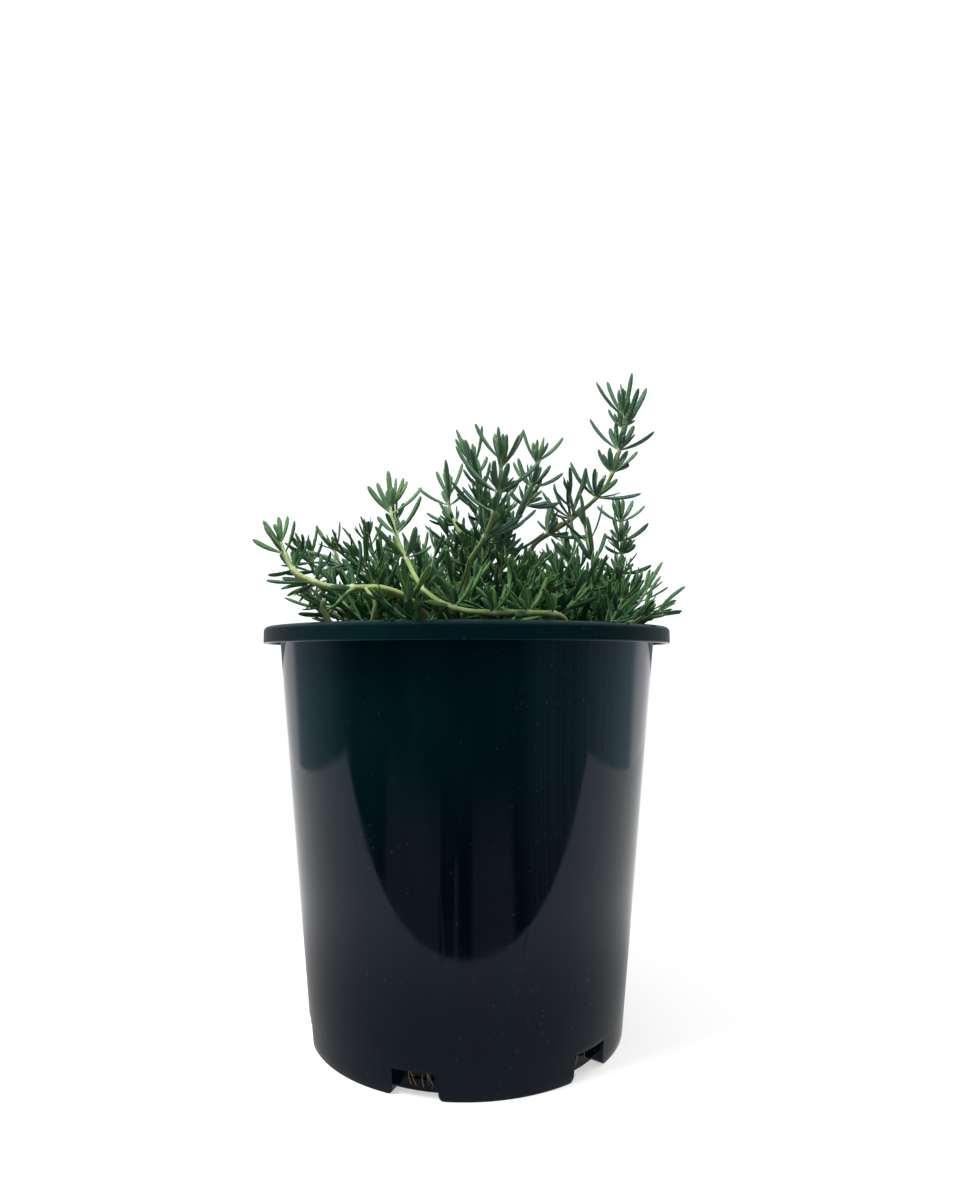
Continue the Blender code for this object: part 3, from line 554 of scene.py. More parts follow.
def mix_finish():
    """Damp potting mix: dark brown crumbs and fibre of several shades."""
    n = Nodes("potting mix")
    crumbs = n.node("TexVoronoi", {"Vector": n.place(), "Scale": 520, "Randomness": 1.0})
    shade = n.part(crumbs.outputs["Color"], 0)
    patch = n.noise(90, 5, 0.6)
    colour = n.mix(shade, (0.006, 0.0045, 0.0035), (0.030, 0.021, 0.014))
    colour = n.mix(n.span(patch, 0.45, 0.7), colour, (0.016, 0.011, 0.008))
    fibre = n.noise(900, 2, place=n.place((0.25, 1, 1)), distortion=2.0)
    colour = n.mix(n.span(fibre, 0.66, 0.72), colour, (0.13, 0.085, 0.05))
    normal = n.bump(crumbs.outputs["Distance"], 0.8 * MM, 0.9)
    normal = n.bump(patch, 1.2 * MM, 0.6, normal)
    return n.finish(colour, n.span(patch, 0.3, 0.7, 0.75, 0.98), normal)


def chip_finish():
    """Composted bark: chips from near black to red-brown, with grain."""
    n = Nodes("bark chips")
    tone = n.value("tone")
    grain = n.noise(700, 3, place=n.place((1, 0.4, 1)), distortion=0.6)
    colour = n.mix(tone, (0.012, 0.008, 0.006), (0.085, 0.052, 0.030))
    colour = n.mix(n.span(grain, 0.5, 0.7), colour, (0.035, 0.023, 0.015))
    normal = n.bump(grain, 0.5 * MM, 0.8)
    return n.finish(colour, 0.85, normal)


def root_finish():
    """Fine roots, pale brown and dull."""
    n = Nodes("roots")
    grain = n.noise(800, 2)
    colour = n.mix(grain, (0.10, 0.065, 0.04), (0.34, 0.26, 0.17))
    return n.finish(colour, 0.8, n.bump(grain, 0.2 * MM, 0.5))


# The nursery pot

def body_radius(height):
    """The outside of the pot's body, a straight taper from its foot to its rim."""
    return FOOT_RADIUS + (NECK_RADIUS - FOOT_RADIUS) * height / (POT_HEIGHT - RIM_DROP)


def inner_radius(height):
    return body_radius(height) - WALL


def arc(centre, radius, start, end, steps):
    """Points of (radius from the axis, height) round a rounded edge of the profile, from one angle to
    another in degrees."""
    angle = np.radians(np.linspace(start, end, steps))
    return np.column_stack([centre[0] + radius * np.cos(angle), centre[1] + radius * np.sin(angle)])


def lower_edge():
    """The wall's lower edge round one sixth of the pot, as (angle from the pocket's middle, height). From
    a foot's middle: level, a quarter circle at the foot's corner, straight up the pocket's side, and level
    along its roof; then the mirror image. Also, whether each point borders the pocket."""
    half = POCKET_SPAN / 2
    corner = FOOT_CORNER / FOOT_RADIUS
    quarter = np.linspace(0, math.pi / 2, 7)
    level = np.linspace(-math.pi / POCKETS, -half - corner, 15)[:-1]
    side = np.array((DRAIN_BOTTOM, DRAIN_TOP, POCKET_HEIGHT))
    roof = np.linspace(-half, 0, 7)[1:]
    roof = np.unique(np.append(roof, -DRAIN_SPAN / 2))
    angles = np.concatenate([
        level, -half - corner + corner * np.sin(quarter), np.full(len(side), -half), roof])
    heights = np.concatenate([
        0 * level, FOOT_CORNER * (1 - np.cos(quarter)), side, np.full(len(roof), POCKET_HEIGHT)])
    angles = np.concatenate([angles, -angles[-2:0:-1]])
    heights = np.concatenate([heights, heights[-2:0:-1]])
    return angles, heights, np.abs(angles) < half + corner * 0.999


def nursery_pot():
    """The pot as one closed surface: at each of its columns, a profile that runs from the middle of the
    floor inside, up the inner wall, over the rim, down the outer wall to the lower edge, inward under the
    foot or into the pocket, and on to the middle of the underside. The drain slots are left open, with
    walls through the thickness."""
    edge_angle, edge_height, pocket = lower_edge()
    columns = len(edge_angle)
    middle = FIRST_POCKET + np.arange(POCKETS)[:, None] * math.tau / POCKETS
    even = np.linspace(-math.pi / POCKETS, math.pi / POCKETS, columns, endpoint=False)
    edge_angle, even = (middle + edge_angle).ravel(), (middle + even).ravel()
    edge_height, pocket = np.tile(edge_height, POCKETS), np.tile(pocket, POCKETS)
    columns *= POCKETS

    rows = []

    def row(radius, height, angle=even):
        shape = np.ones(columns)
        rows.append(np.stack([radius * np.cos(angle), radius * np.sin(angle), height * shape], axis=-1))
        return len(rows) - 1

    floor, ledge = FLOOR_RISE + WALL, POCKET_HEIGHT + WALL
    lining = np.where(pocket, POCKET_BACK - WALL, inner_radius(floor))
    for share in (0.3, 0.7, 1):
        row(lining * share, floor, edge_angle)
    in_low = row(lining, DRAIN_BOTTOM, edge_angle)
    in_high = row(lining, DRAIN_TOP, edge_angle)
    row(np.where(pocket, lining, inner_radius(ledge)), ledge, edge_angle)
    row(np.full(columns, inner_radius(ledge)), ledge, edge_angle)
    for height in np.append(np.linspace(24, 160, 6), np.linspace(166, 188, 8)) * MM:
        row(inner_radius(height), height)
    under, skirt = POT_HEIGHT - WALL, POT_HEIGHT - RIM_DROP
    inner = inner_radius(POT_HEIGHT)
    profile = np.vstack([
        arc((inner + RIM_ROUND, POT_HEIGHT - RIM_ROUND), RIM_ROUND, 180, 90, 6),
        [(inner + RIM_ROUND + 0.4 * MM, POT_HEIGHT), (RIM_RADIUS - RIM_SHOULDER - 0.4 * MM, POT_HEIGHT)],
        arc((RIM_RADIUS - RIM_SHOULDER, POT_HEIGHT - RIM_SHOULDER), RIM_SHOULDER, 90, 0, 9),
        [(RIM_RADIUS, POT_HEIGHT - RIM_SHOULDER - 0.4 * MM), (RIM_RADIUS, skirt + LIP_ROUND + 0.3 * MM)],
        arc((RIM_RADIUS - LIP_ROUND, skirt + LIP_ROUND), LIP_ROUND, 0, -90, 6),
        arc((RIM_RADIUS - WALL + LIP_ROUND, skirt + LIP_ROUND), LIP_ROUND, -90, -180, 6),
        [(RIM_RADIUS - WALL, skirt + LIP_ROUND + 0.3 * MM), (RIM_RADIUS - WALL, under - 0.3 * MM),
         (RIM_RADIUS - WALL - 0.3 * MM, under), (body_radius(under) + 0.8 * MM, under),
         (body_radius(under - 0.8 * MM), under - 0.8 * MM),
         (body_radius(under - 1.4 * MM), under - 1.4 * MM)],
    ])
    for radius, height in profile:
        row(radius, height)
    for height in np.linspace(180, 26, 22) * MM:
        row(body_radius(height), height)
    blend_top = 26 * MM  # the columns, even above this height, close up round the pockets below it
    for share in np.linspace(0, 1, 9)[1:-1]:
        height = blend_top + (edge_height + EDGE_ROUND * 1.6 - blend_top) * share
        row(body_radius(height), height, even + (edge_angle - even) * smooth_step(share))
    row(body_radius(edge_height + EDGE_ROUND), edge_height + EDGE_ROUND, edge_angle)
    row(body_radius(edge_height) - EDGE_ROUND * 0.3, edge_height + EDGE_ROUND * 0.3, edge_angle)
    row(body_radius(edge_height) - EDGE_ROUND, edge_height, edge_angle)
    inward = np.where(pocket, POCKET_BACK, FOOT_RADIUS - WALL)
    row(inward, edge_height, edge_angle)
    out_high = row(inward, np.minimum(edge_height, DRAIN_TOP), edge_angle)
    out_low = row(inward, np.minimum(edge_height, DRAIN_BOTTOM), edge_angle)
    row(inward, np.minimum(edge_height, FOOT_CORNER), edge_angle)
    row(inward, 0, edge_angle)
    behind = np.where(pocket, POCKET_BACK - WALL, FOOT_RADIUS - WALL)
    row(behind, 0, edge_angle)
    for share in (1, 0.7, 0.3):
        row(behind * share, FLOOR_RISE, edge_angle)

    points = np.vstack([np.concatenate(rows), [(0, 0, floor), (0, 0, FLOOR_RISE)]])
    quads, fans = tube_faces(len(rows), columns)
    slot = np.abs((edge_angle - FIRST_POCKET + math.pi / POCKETS) % (math.tau / POCKETS)
                  - math.pi / POCKETS) < DRAIN_SPAN / 2 + 1e-6
    open_column = slot & np.roll(slot, -1)
    at_row, at_column = np.divmod(np.arange(len(quads)), columns)
    hole = open_column[at_column] & ((at_row == in_low) | (at_row == out_high))
    quads = quads[~hole]
    column = np.flatnonzero(open_column)
    after = (column + 1) % columns
    first, last = np.flatnonzero(slot & ~np.roll(slot, 1)), np.flatnonzero(slot & ~np.roll(slot, -1))

    def ring(low_row, first_column, high_row, second_column):
        return np.stack([low_row * columns + first_column, low_row * columns + second_column,
                         high_row * columns + second_column, high_row * columns + first_column], axis=-1)

    walls = np.vstack([
        ring(out_low, column, in_low, after), ring(in_high, column, out_high, after),
        np.stack([out_high * columns + first, out_low * columns + first,
                  in_low * columns + first, in_high * columns + first], axis=-1),
        np.stack([out_low * columns + last, out_high * columns + last,
                  in_high * columns + last, in_low * columns + last], axis=-1),
    ])
    quads = np.vstack([quads[:, ::-1], walls])
    corner = points[quads]
    area = np.linalg.norm(np.cross(corner[:, 2] - corner[:, 0], corner[:, 3] - corner[:, 1]), axis=1)
    quads = quads[area > NO_AREA]
    obj = mesh_piece("pot_moulding", points, quads, fans[:, ::-1], black_plastic(),
                     sharp=32, weld=True)
    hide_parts("nursery_pot")


# The stems' routes

def unit(vectors):
    return vectors / np.linalg.norm(vectors, axis=-1, keepdims=True)


def smooth_route(points, step):
    """A curve through the points, one cubic between each two with the chord of its neighbours as the
    slope, read at an even step."""
    points = np.array(points, float)
    ends = np.vstack([2 * points[0] - points[1], points, 2 * points[-1] - points[-2]])
    share = np.linspace(0, 1, 12, endpoint=False)[:, None]
    pieces = []
    for before, start, end, after in zip(ends, ends[1:], ends[2:], ends[3:]):
        slope, next_slope = (end - before) / 2, (after - start) / 2
        pieces.append(
            start * (2 * share**3 - 3 * share**2 + 1)
            + slope * (share**3 - 2 * share**2 + share)
            + end * (3 * share**2 - 2 * share**3)
            + next_slope * (share**3 - share**2)
        )
    dense = np.vstack(pieces + [points[-1:]])
    along = np.concatenate([[0], np.linalg.norm(np.diff(dense, axis=0), axis=1).cumsum()])
    count = max(3, round(along[-1] / step) + 1)
    even = np.linspace(0, along[-1], count)
    return np.column_stack([np.interp(even, along, dense[:, axis]) for axis in range(3)])


def frames(path):
    """Along a path: its direction, and two unit vectors square to it, carried along without twist."""
    along = unit(np.gradient(path, axis=0))
    level = np.cross(along[0], (0, 1, 0))
    levels = []
    for direction in along:
        level = unit(level - direction * (level @ direction))
        levels.append(level)
    return along, np.array(levels), np.cross(levels, along)


def lengths_along(path):
    return np.concatenate([[0], np.linalg.norm(np.diff(path, axis=0), axis=1).cumsum()])


def reader(path):
    """A path's whole length, and a function that gives its point and its frame at any length."""
    lengths = lengths_along(path)
    carried = np.hstack([path, *frames(path)])

    def read(at):
        values = np.array([np.interp(at, lengths, column) for column in carried.T]).reshape(4, 3)
        return values[0], unit(values[1:])

    return lengths[-1], read


def spoke(angle, level, rise):
    """The unit vector square to a path at this angle round it."""
    return math.cos(angle) * level + math.sin(angle) * rise


def with_foot(route):
    """The first route begins at the foot of its hole and rises straight until it is out of the mix."""
    (x, y), rest = route[0], route[1:]
    return [(x, y, STEM_FOOT / MM), (x, y, MIX_TOP / MM + 3), *rest]


# The leaves' places

class Room:
    """The stretches of stem and leaf already laid, each with its radius and the stem it is part of."""

    def __init__(self):
        self.starts, self.ends = np.empty((0, 3)), np.empty((0, 3))
        self.radii, self.owners = np.empty(0), np.empty(0, int)

    def take(self, owner, path, radius):
        self.starts = np.vstack([self.starts, path[:-1]])
        self.ends = np.vstack([self.ends, path[1:]])
        count = len(path) - 1
        self.radii = np.concatenate([self.radii, np.broadcast_to(radius, count)])
        self.owners = np.concatenate([self.owners, np.full(count, owner)])

    def free(self, owner, path, radius, gap):
        """Whether a path keeps this gap to every stretch of another stem, and lies beside its own stem's
        leaves rather than through them."""
        share = np.linspace(0, 1, 9)[:, None]
        points = np.vstack([a + (b - a) * share for a, b in zip(path, path[1:])])
        near = np.linalg.norm(self.starts - points[len(points) // 2], axis=1) < 45 * MM
        starts, spans = self.starts[near], (self.ends - self.starts)[near]
        reach = self.radii[near] + radius
        reach = np.where(self.owners[near] == owner, reach * BESIDE, reach + gap)
        offset = points[:, None] - starts
        share = (offset * spans).sum(2) / (spans**2).sum(1)
        away = np.linalg.norm(offset - np.clip(share, 0, 1)[..., None] * spans, axis=2)
        return bool((away > reach).all())


def clear_of_pot(path):
    """Whether points stay off the mix, the wall and the rim: inside the wall, over the rim or beside it."""
    radius, height = np.hypot(path[:, 0], path[:, 1]), path[:, 2]
    inside = (radius < inner_radius(height) - POT_CLEARANCE) & (height > MIX_TOP + 2 * MM)
    over = height > POT_HEIGHT + POT_CLEARANCE
    outside = (radius > RIM_RADIUS + POT_CLEARANCE) & (height > POT_HEIGHT - RIM_DROP)
    return bool((inside | over | outside).all())


def stem_nodes(in_leaf, seen):
    """From the tip down, the distances at which leaves stand, each with the leaves that the photo shows
    there. Where it shows none, the nodes are close at the tip and wider further down."""
    found = [(distance * MM, shown) for distance, shown in seen]
    distance = found[-1][0] + node_spacing(found[-1][0]) if found else FIRST_NODE
    while distance < in_leaf:
        found.append((distance, []))
        distance += node_spacing(distance)
    return found


def node_spacing(distance):
    return (4 + 12 * (1 - math.exp(-distance / (14 * MM)))) * MM


def node_leaves(frame_at, distance, turn, shown, draw):
    """The leaves of one node, as (direction, length). First the shown ones, and then two long ones face
    to face and, past the young tip, two shorter ones from the buds between them. They stand upright near
    the tip and spread below. Beside shown leaves, only those that point back stay, and short ones that
    point forward."""
    along, level, rise = frame_at
    for lean, reach, forward in shown:
        lean = math.radians(lean)
        leaf = np.array((math.sin(lean) * reach, -forward, math.cos(lean) * reach)) * MM
        yield unit(unit(leaf) - BEND * along), np.linalg.norm(leaf)
    spread = math.radians(22 + 40 * (1 - math.exp(-distance / (15 * MM))))
    full = LEAF_LENGTH * (0.68 + 0.32 * (1 - math.exp(-distance / (12 * MM))))
    flatness = math.sqrt(max(0, 1 - along[2] ** 2))
    for index in range(4) if distance > YOUNG else (0, 2):
        long = index % 2 == 0
        at = turn + index * math.pi / 2 + draw.uniform(-0.2, 0.2)
        lean = spread * (1 if long else SHORT) * draw.uniform(0.85, 1.15)
        out = spoke(at, level, rise)
        direction = math.cos(lean) * along + math.sin(lean) * out
        direction = unit(direction + np.array((0, 0, LIFT * flatness)))
        length = full * (1 if long else SHORT) * draw.uniform(0.88, 1.12)
        if not shown or direction[1] > TOWARDS:
            yield direction, length
        elif direction[1] < -TOWARDS:
            yield direction, length * FORWARD_SHORT


def leaf_path(root, direction, length, along):
    """Three points that leave the stem at a slant and bend a little towards its tip."""
    bent = unit(direction + BEND * along)
    return np.array([root, root + unit(direction + bent) * length * SHOULDER, root + bent * length])


def fitted(owner, root, direction, length, along, radius, room):
    """A leaf's path where it has room: as asked, else swayed, else shorter, else none."""
    for size, sway in TRIES:
        swayed = unit(direction + sway * np.cross(along, direction))
        route = leaf_path(root, swayed, length * size, along)
        outer = np.vstack([root + (route[1] - root) * FREE_ROOT, route[1:]])
        if clear_of_pot(outer) and room.free(owner, outer, radius, CLEARANCE):
            room.take(owner, outer, radius)
            return route
    return None


def nodes_of(path, in_leaf, seen, draw):
    """The stem's nodes in leaf, from the tip down: (distance, leaves that the photo shows, point, frame,
    turn of the first leaf)."""
    total, read = reader(path)
    turn = draw.integers(2) * math.pi / 2
    for distance, shown in stem_nodes(min(in_leaf, total - 4 * MM), seen):
        root, frame_at = read(total - distance)
        if root[2] < LOWEST_LEAF:
            break
        yield distance, shown, root, frame_at, turn
        turn += math.pi / 2


class Leaves:
    """The leaves of one stem, gathered before their mesh is made."""

    def __init__(self, look):
        self.look = look
        self.routes, self.faces, self.widths, self.kinds = [], [], [], []

    def add(self, route, face, width, young, tone=(0.0, 1.0), faded=0.0):
        self.routes.append(route)
        self.faces.append(face)
        self.widths.append(width)
        self.kinds.append((self.look.uniform(*tone), young, faded))


def turned_face(along, route, shown, look):
    """The way a leaf's upper side faces: the stem's tip, rolled a little either way. A shown leaf rolls
    far enough for its upper side, or for about one in three its underside, to be seen."""
    side = np.cross(unit(route[-1] - route[0]), along)
    face = along + side * look.normal(0, 0.4)
    if shown:
        toward = 1.0 if look.uniform() < 0.68 else -0.7
        face = face + np.array((0, -1, 0)) * toward * look.uniform(0.5, 1.3)
    return unit(face)


def keep_in_view(path, low, high, room):
    """Takes the room in front of a stem's stretch, so that no small leaf hides it."""
    for point in smooth_route(path / MM, 3) * MM:
        if low < point[2] / MM < high:
            room.take(-1, point + unit(FRONT_VIEW - point) * np.array([[3], [28], [53]]) * MM, 0.9 * MM)


def main_leaves(owner, path, in_leaf, seen, room, draw, found, fresh):
    """The leaves that the solids have too."""
    places, look = [], found.look
    for distance, shown, root, frame_at, turn in nodes_of(path, in_leaf, seen, draw):
        places.append((distance, bool(shown), root, frame_at, turn))
        for index, (direction, length) in enumerate(node_leaves(frame_at, distance, turn, shown, draw)):
            route = fitted(owner, root, direction, length, frame_at[0], LEAF_RADIUS, room)
            if route is not None:
                young = max(fresh, math.exp(-distance / (9 * MM)))
                width = LEAF_WIDTH * look.uniform(0.95, 1.2) * (1 - 0.25 * young)
                face = turned_face(frame_at[0], route, index < len(shown), look)
                found.add(route, face, width, young, (0.15, 1.0))
    return places


def tuft_leaves(owner, places, room, found, pale):
    """Short leaves in the axils. At a shown node near the tip, up to two that stand close to the stem. At
    most nodes past the young tip, a bud on a side or on both, with a pair or two of small leaves that lean
    apart. A pale stem's front stays free."""
    look = found.look
    for distance, shown, root, (along, level, rise), turn in places:
        for _ in range(2 if shown and distance < 30 * MM else 0):
            at, lean = look.uniform(0, math.tau), math.radians(look.uniform(7, 20))
            out = spoke(at, level, rise)
            direction = unit(math.cos(lean) * along + math.sin(lean) * out)
            if pale and out[1] < 0.2:
                continue
            route = fitted(owner, root + out * 0.8 * MM, direction, look.uniform(11, 18) * MM, along,
                           0.5 * MM, room)
            if route is not None:
                found.add(route, turned_face(along, route, False, look), LEAF_WIDTH * 0.8, 0.4, (0.4, 1.0))
        if distance < YOUNG:
            continue
        grown = min(1, distance / (60 * MM))
        for side in (0, 1):
            if look.uniform() < (0.12 if shown else 0.3):
                continue
            at = turn + side * math.pi + look.uniform(-0.3, 0.3)
            out = spoke(at, level, rise)
            if pale and out[1] < -0.1:
                continue
            across = -math.sin(at) * level + math.cos(at) * rise
            axis = unit(along + out * look.uniform(0.5, 0.9) + np.array((0, 0, 0.3)))
            start = root + out * 0.7 * MM + along * 0.8 * MM
            for pair in range(2 if shown else look.integers(1, 3)):
                size = (5 + 7 * grown + 2 * shown) * MM * (1 - 0.28 * pair) * look.uniform(0.8, 1.3)
                fork = math.radians(32 - 14 * pair)
                lean_to = across if pair % 2 == 0 else np.cross(axis, across)
                for sign in (-1, 1):
                    direction = unit(math.cos(fork) * axis + sign * math.sin(fork) * lean_to)
                    route = fitted(owner, start + axis * pair * 1.2 * MM, direction, size, axis,
                                   0.6 * MM, room)
                    if route is not None:
                        width = LEAF_WIDTH * (0.6 + 0.2 * grown) * look.uniform(0.85, 1.1)
                        found.add(route, turned_face(axis, route, False, look), width, 0.2 + 0.3 * pair)


def bud_leaves(path, found):
    """The bunch of small pale leaves that closes a tip."""
    look = found.look
    along, level, rise = (values[-1] for values in frames(path))
    for index in range(6):
        at = index * 2.4 + look.uniform(-0.3, 0.3)
        lean = 0.08 + 0.06 * index
        out = spoke(at, level, rise)
        direction = unit(along + lean * out)
        length = (4.5 + 1.1 * index) * MM * look.uniform(0.85, 1.15)
        root = path[-1] - along * (0.6 + 0.25 * index) * MM
        route = leaf_path(root, direction, length, along)
        found.add(route, along, (0.8 + 0.13 * index) * MM, 0.9)


def lower_leaves(owner, path, in_leaf, room, found):
    """Older leaves on the part of a stem below the solids' leaves, down to the mix."""
    look = found.look
    total, read = reader(path)
    turn = look.uniform(0, math.pi)
    for at in np.arange(total - in_leaf - 9 * MM, 0, -LOWER_STEP):
        root, (along, level, rise) = read(at)
        if root[2] < LOWEST_LEAF:
            break
        for side in range(4):
            angle = turn + side * math.pi / 2 + look.uniform(-0.3, 0.3)
            out = spoke(angle, level, rise)
            direction = unit(along * look.uniform(0.4, 0.9) + out + np.array((0, 0, 0.3)))
            length = look.uniform(13, 23) * MM
            route = fitted(owner, root, direction, length, along, 0.7 * MM, room)
            if route is not None:
                width = LEAF_WIDTH * look.uniform(0.85, 1.1)
                faded = 0.9 if look.uniform() < 0.04 else 0.0
                found.add(route, turned_face(along, route, False, look), width, 0.0, (0.0, 0.5), faded)
        turn += math.pi / 4


def side_shoots(owner, path, room, found):
    """Short leafy shoots from the buds of a stem's lower part. Each leaves the stem at a slant and turns
    upward, and is tried at a few turns until it has room; its leaves stand in crossed pairs and get
    shorter towards its tip."""
    look = found.look
    total, read = reader(path)
    shoots = []
    for at in np.arange(12 * MM, total - 14 * MM, SHOOT_STEP):
        root, (along, level, rise) = read(at)
        if root[2] < LOWEST_LEAF:
            continue
        for _ in range(SHOOT_TRIES):
            angle = look.uniform(0, math.tau)
            reach = look.uniform(15, 32) * MM
            out = spoke(angle, level, rise)
            start = unit(out + 0.6 * along + np.array((0, 0, 0.4)))
            end = unit(start + np.array((0, 0, 0.7)))
            share = np.linspace(0, 1, 5)[:, None]
            shoot = root + reach * (start * share + (end - start) * share**2 / 2)
            top = np.interp(shoot[-1, 0], *SHOOT_TOPS)
            inside = np.hypot(*shoot[-1, :2]) < SHOOT_REACH and shoot[-1, 2] < top
            if inside and clear_of_pot(shoot[1:]) and room.free(owner, shoot[1:], 1.0 * MM, CLEARANCE):
                room.take(owner, shoot[1:], 0.6 * MM)
                shoots.append(shoot)
                break
    for shoot in shoots:
        total, read = reader(shoot)
        turn = look.uniform(0, math.pi)
        for from_tip in np.arange(2.5 * MM, total - 3 * MM, SHOOT_PAIRS):
            root, (along, level, rise) = read(total - from_tip)
            grown = 1 - math.exp(-from_tip / (9 * MM))
            for side in range(2):
                angle = turn + side * math.pi + look.uniform(-0.25, 0.25)
                out = spoke(angle, level, rise)
                lean = math.radians(20 + 38 * grown) * look.uniform(0.85, 1.15)
                direction = unit(math.cos(lean) * along + math.sin(lean) * out)
                length = (9 + 9 * grown) * MM * look.uniform(0.85, 1.15)
                route = fitted(owner, root, direction, length, along, 0.6 * MM, room)
                if route is not None:
                    width = LEAF_WIDTH * (0.7 + 0.25 * grown) * look.uniform(0.9, 1.1)
                    young = 0.5 * (1 - grown)
                    found.add(route, turned_face(along, route, False, look), width, young, (0.0, 0.8))
            turn += math.pi / 2
        bud_leaves(shoot, found)
    return shoots


# The leaves' shape

STALK, STALK_END = 0.45, 0.5  # a leaf's width at its root, and how far along it is at its full width
BLUNT_START = 0.72
LEAF_ALONG = np.array([0, 0.06, 0.2, 0.4, 0.6, 0.78, 0.91, 0.97])
LEAF_SECTION = np.array([  # (across, up, underside) round a leaf, for a width of 2 and its margins rolled
    (-1.0, -0.14, 0.0), (-0.64, 0.30, 0.0), (0.0, 0.12, 0.0), (0.64, 0.30, 0.0), (1.0, -0.14, 0.0),
    (0.66, -0.46, 1.0), (0.0, -0.40, 1.0), (-0.66, -0.46, 1.0),
])


def leaf_meshes(found):
    """All of a stem's leaves as one mesh's points, faces and values. A leaf's middle line is a quadratic
    curve through its three route points; its width grows from the stalk's by a smooth step, up to half
    way, times a half ellipse over the blunt tip; its section is grooved above, with a rib below."""
    routes = np.array(found.routes)
    face = np.array(found.faces)[:, None]
    width = np.array(found.widths)[:, None]
    along = np.append(LEAF_ALONG, 1.0)[:, None]
    root, shoulder, tip = routes[:, 0:1], routes[:, 1:2], routes[:, 2:3]
    control = (shoulder - root * (1 - SHOULDER) ** 2 - tip * SHOULDER**2) / (2 * SHOULDER * (1 - SHOULDER))
    centre = root * (1 - along) ** 2 + control * 2 * along * (1 - along) + tip * along**2
    slope = unit((control - root) * (1 - along) + (tip - control) * along)
    up = unit(face - slope * (face * slope).sum(-1, keepdims=True))
    side = np.cross(slope, up)
    share = along[:-1, 0]
    stalk = STALK + (1 - STALK) * smooth_step(np.clip(share / STALK_END, 0, 1))
    blunt = np.sqrt(1 - (np.clip(share - BLUNT_START, 0, 1) / (1 - BLUNT_START)) ** 2)
    half = (width / 2 * stalk * blunt)[:, :, None, None]
    across, rise, under = LEAF_SECTION.T
    ring = (centre[:, :-1, None] + half * across[:, None] * side[:, :-1, None]
            + half * rise[:, None] * up[:, :-1, None])
    count, rows, columns = ring.shape[:3]
    body = ring.reshape(count, rows * columns, 3)
    points = np.concatenate([body, centre[:, :1], centre[:, -1:]], axis=1)
    each = points.shape[1]
    quads, fans = tube_faces(rows, columns)
    offset = (np.arange(count) * each)[:, None, None]
    place = np.empty((count, each, 3))
    place[:, :-2, 0] = np.tile(across, rows)
    place[:, :-2, 1] = np.repeat(share, columns)
    place[:, :-2, 2] = np.tile(under, rows)
    place[:, -2], place[:, -1] = (0, 0, 0), (0, 1, 0)
    kind = np.repeat(np.array(found.kinds)[:, None], each, axis=1)
    return (points.reshape(-1, 3), (quads + offset).reshape(-1, 4), (fans + offset).reshape(-1, 3),
            {"leaf_place": place.reshape(-1, 3), "leaf_kind": kind.reshape(-1, 3)})


# The stems' shape

STEM_SIDES = 12
FINE_STEP = 1.2 * MM
SWELLING, SWELLING_REACH = 0.2, 1.2 * MM


def stem_mesh(path, radii, nodes, bark, seed):
    """A stem: a rounded square carried along its path, with a swelling at each node and small lumps.
    The radius is the taper, times 1 + SWELLING exp(-(distance from a node / SWELLING_REACH)^2). The
    frames are left-handed, so the faces are turned to point outwards."""
    fine = smooth_route(path / MM, FINE_STEP / MM) * MM
    lengths = lengths_along(fine)
    along, level, rise = frames(fine)
    radius = np.interp(lengths / lengths[-1], np.linspace(0, 1, len(radii)), radii)
    apart = (lengths[:, None] - np.array(nodes)[None]) / SWELLING_REACH
    ring = np.exp(-(apart**2)).sum(1) if nodes else 0 * lengths
    radius = radius * (1 + SWELLING * ring)
    angle = np.arange(STEM_SIDES) * math.tau / STEM_SIDES
    around = np.cos(angle)[:, None] * level[:, None] + np.sin(angle)[:, None] * rise[:, None]
    square = 1 - 0.07 * np.cos(4 * angle)[:, None]
    points = fine[:, None] + radius[:, None, None] * square * around
    points += around * lattice_noise(points, 2.5 * MM, seed)[..., None] * radius[:, None, None] * 0.07
    points = np.vstack([points.reshape(-1, 3), fine[:1], fine[-1:] + along[-1:] * radius[-1]])
    quads, fans = tube_faces(len(fine), STEM_SIDES)
    from_tip = lengths[-1] - lengths
    older, younger = 1 - np.exp(-from_tip / (60 * MM)), np.exp(-from_tip / (14 * MM))
    age = np.clip(bark + 0.35 * older - 0.15 * younger, 0, 1)
    values = np.stack([age, np.clip(ring, 0, 1), np.exp(-from_tip / (24 * MM))], axis=-1)
    values = np.vstack([np.repeat(values, STEM_SIDES, axis=0), values[:1], values[-1:]])
    return points, quads[:, ::-1], fans[:, ::-1], {"bark": values}


def joined(parts):
    """Several (points, quads, triangles, values) as one."""
    shift = np.concatenate([[0], np.cumsum([len(part[0]) for part in parts])[:-1]])
    return (np.vstack([part[0] for part in parts]),
            np.vstack([part[1] + s for part, s in zip(parts, shift)]),
            np.vstack([part[2] + s for part, s in zip(parts, shift)]),
            {key: np.vstack([part[3][key] for part in parts]) for key in parts[0][3]})


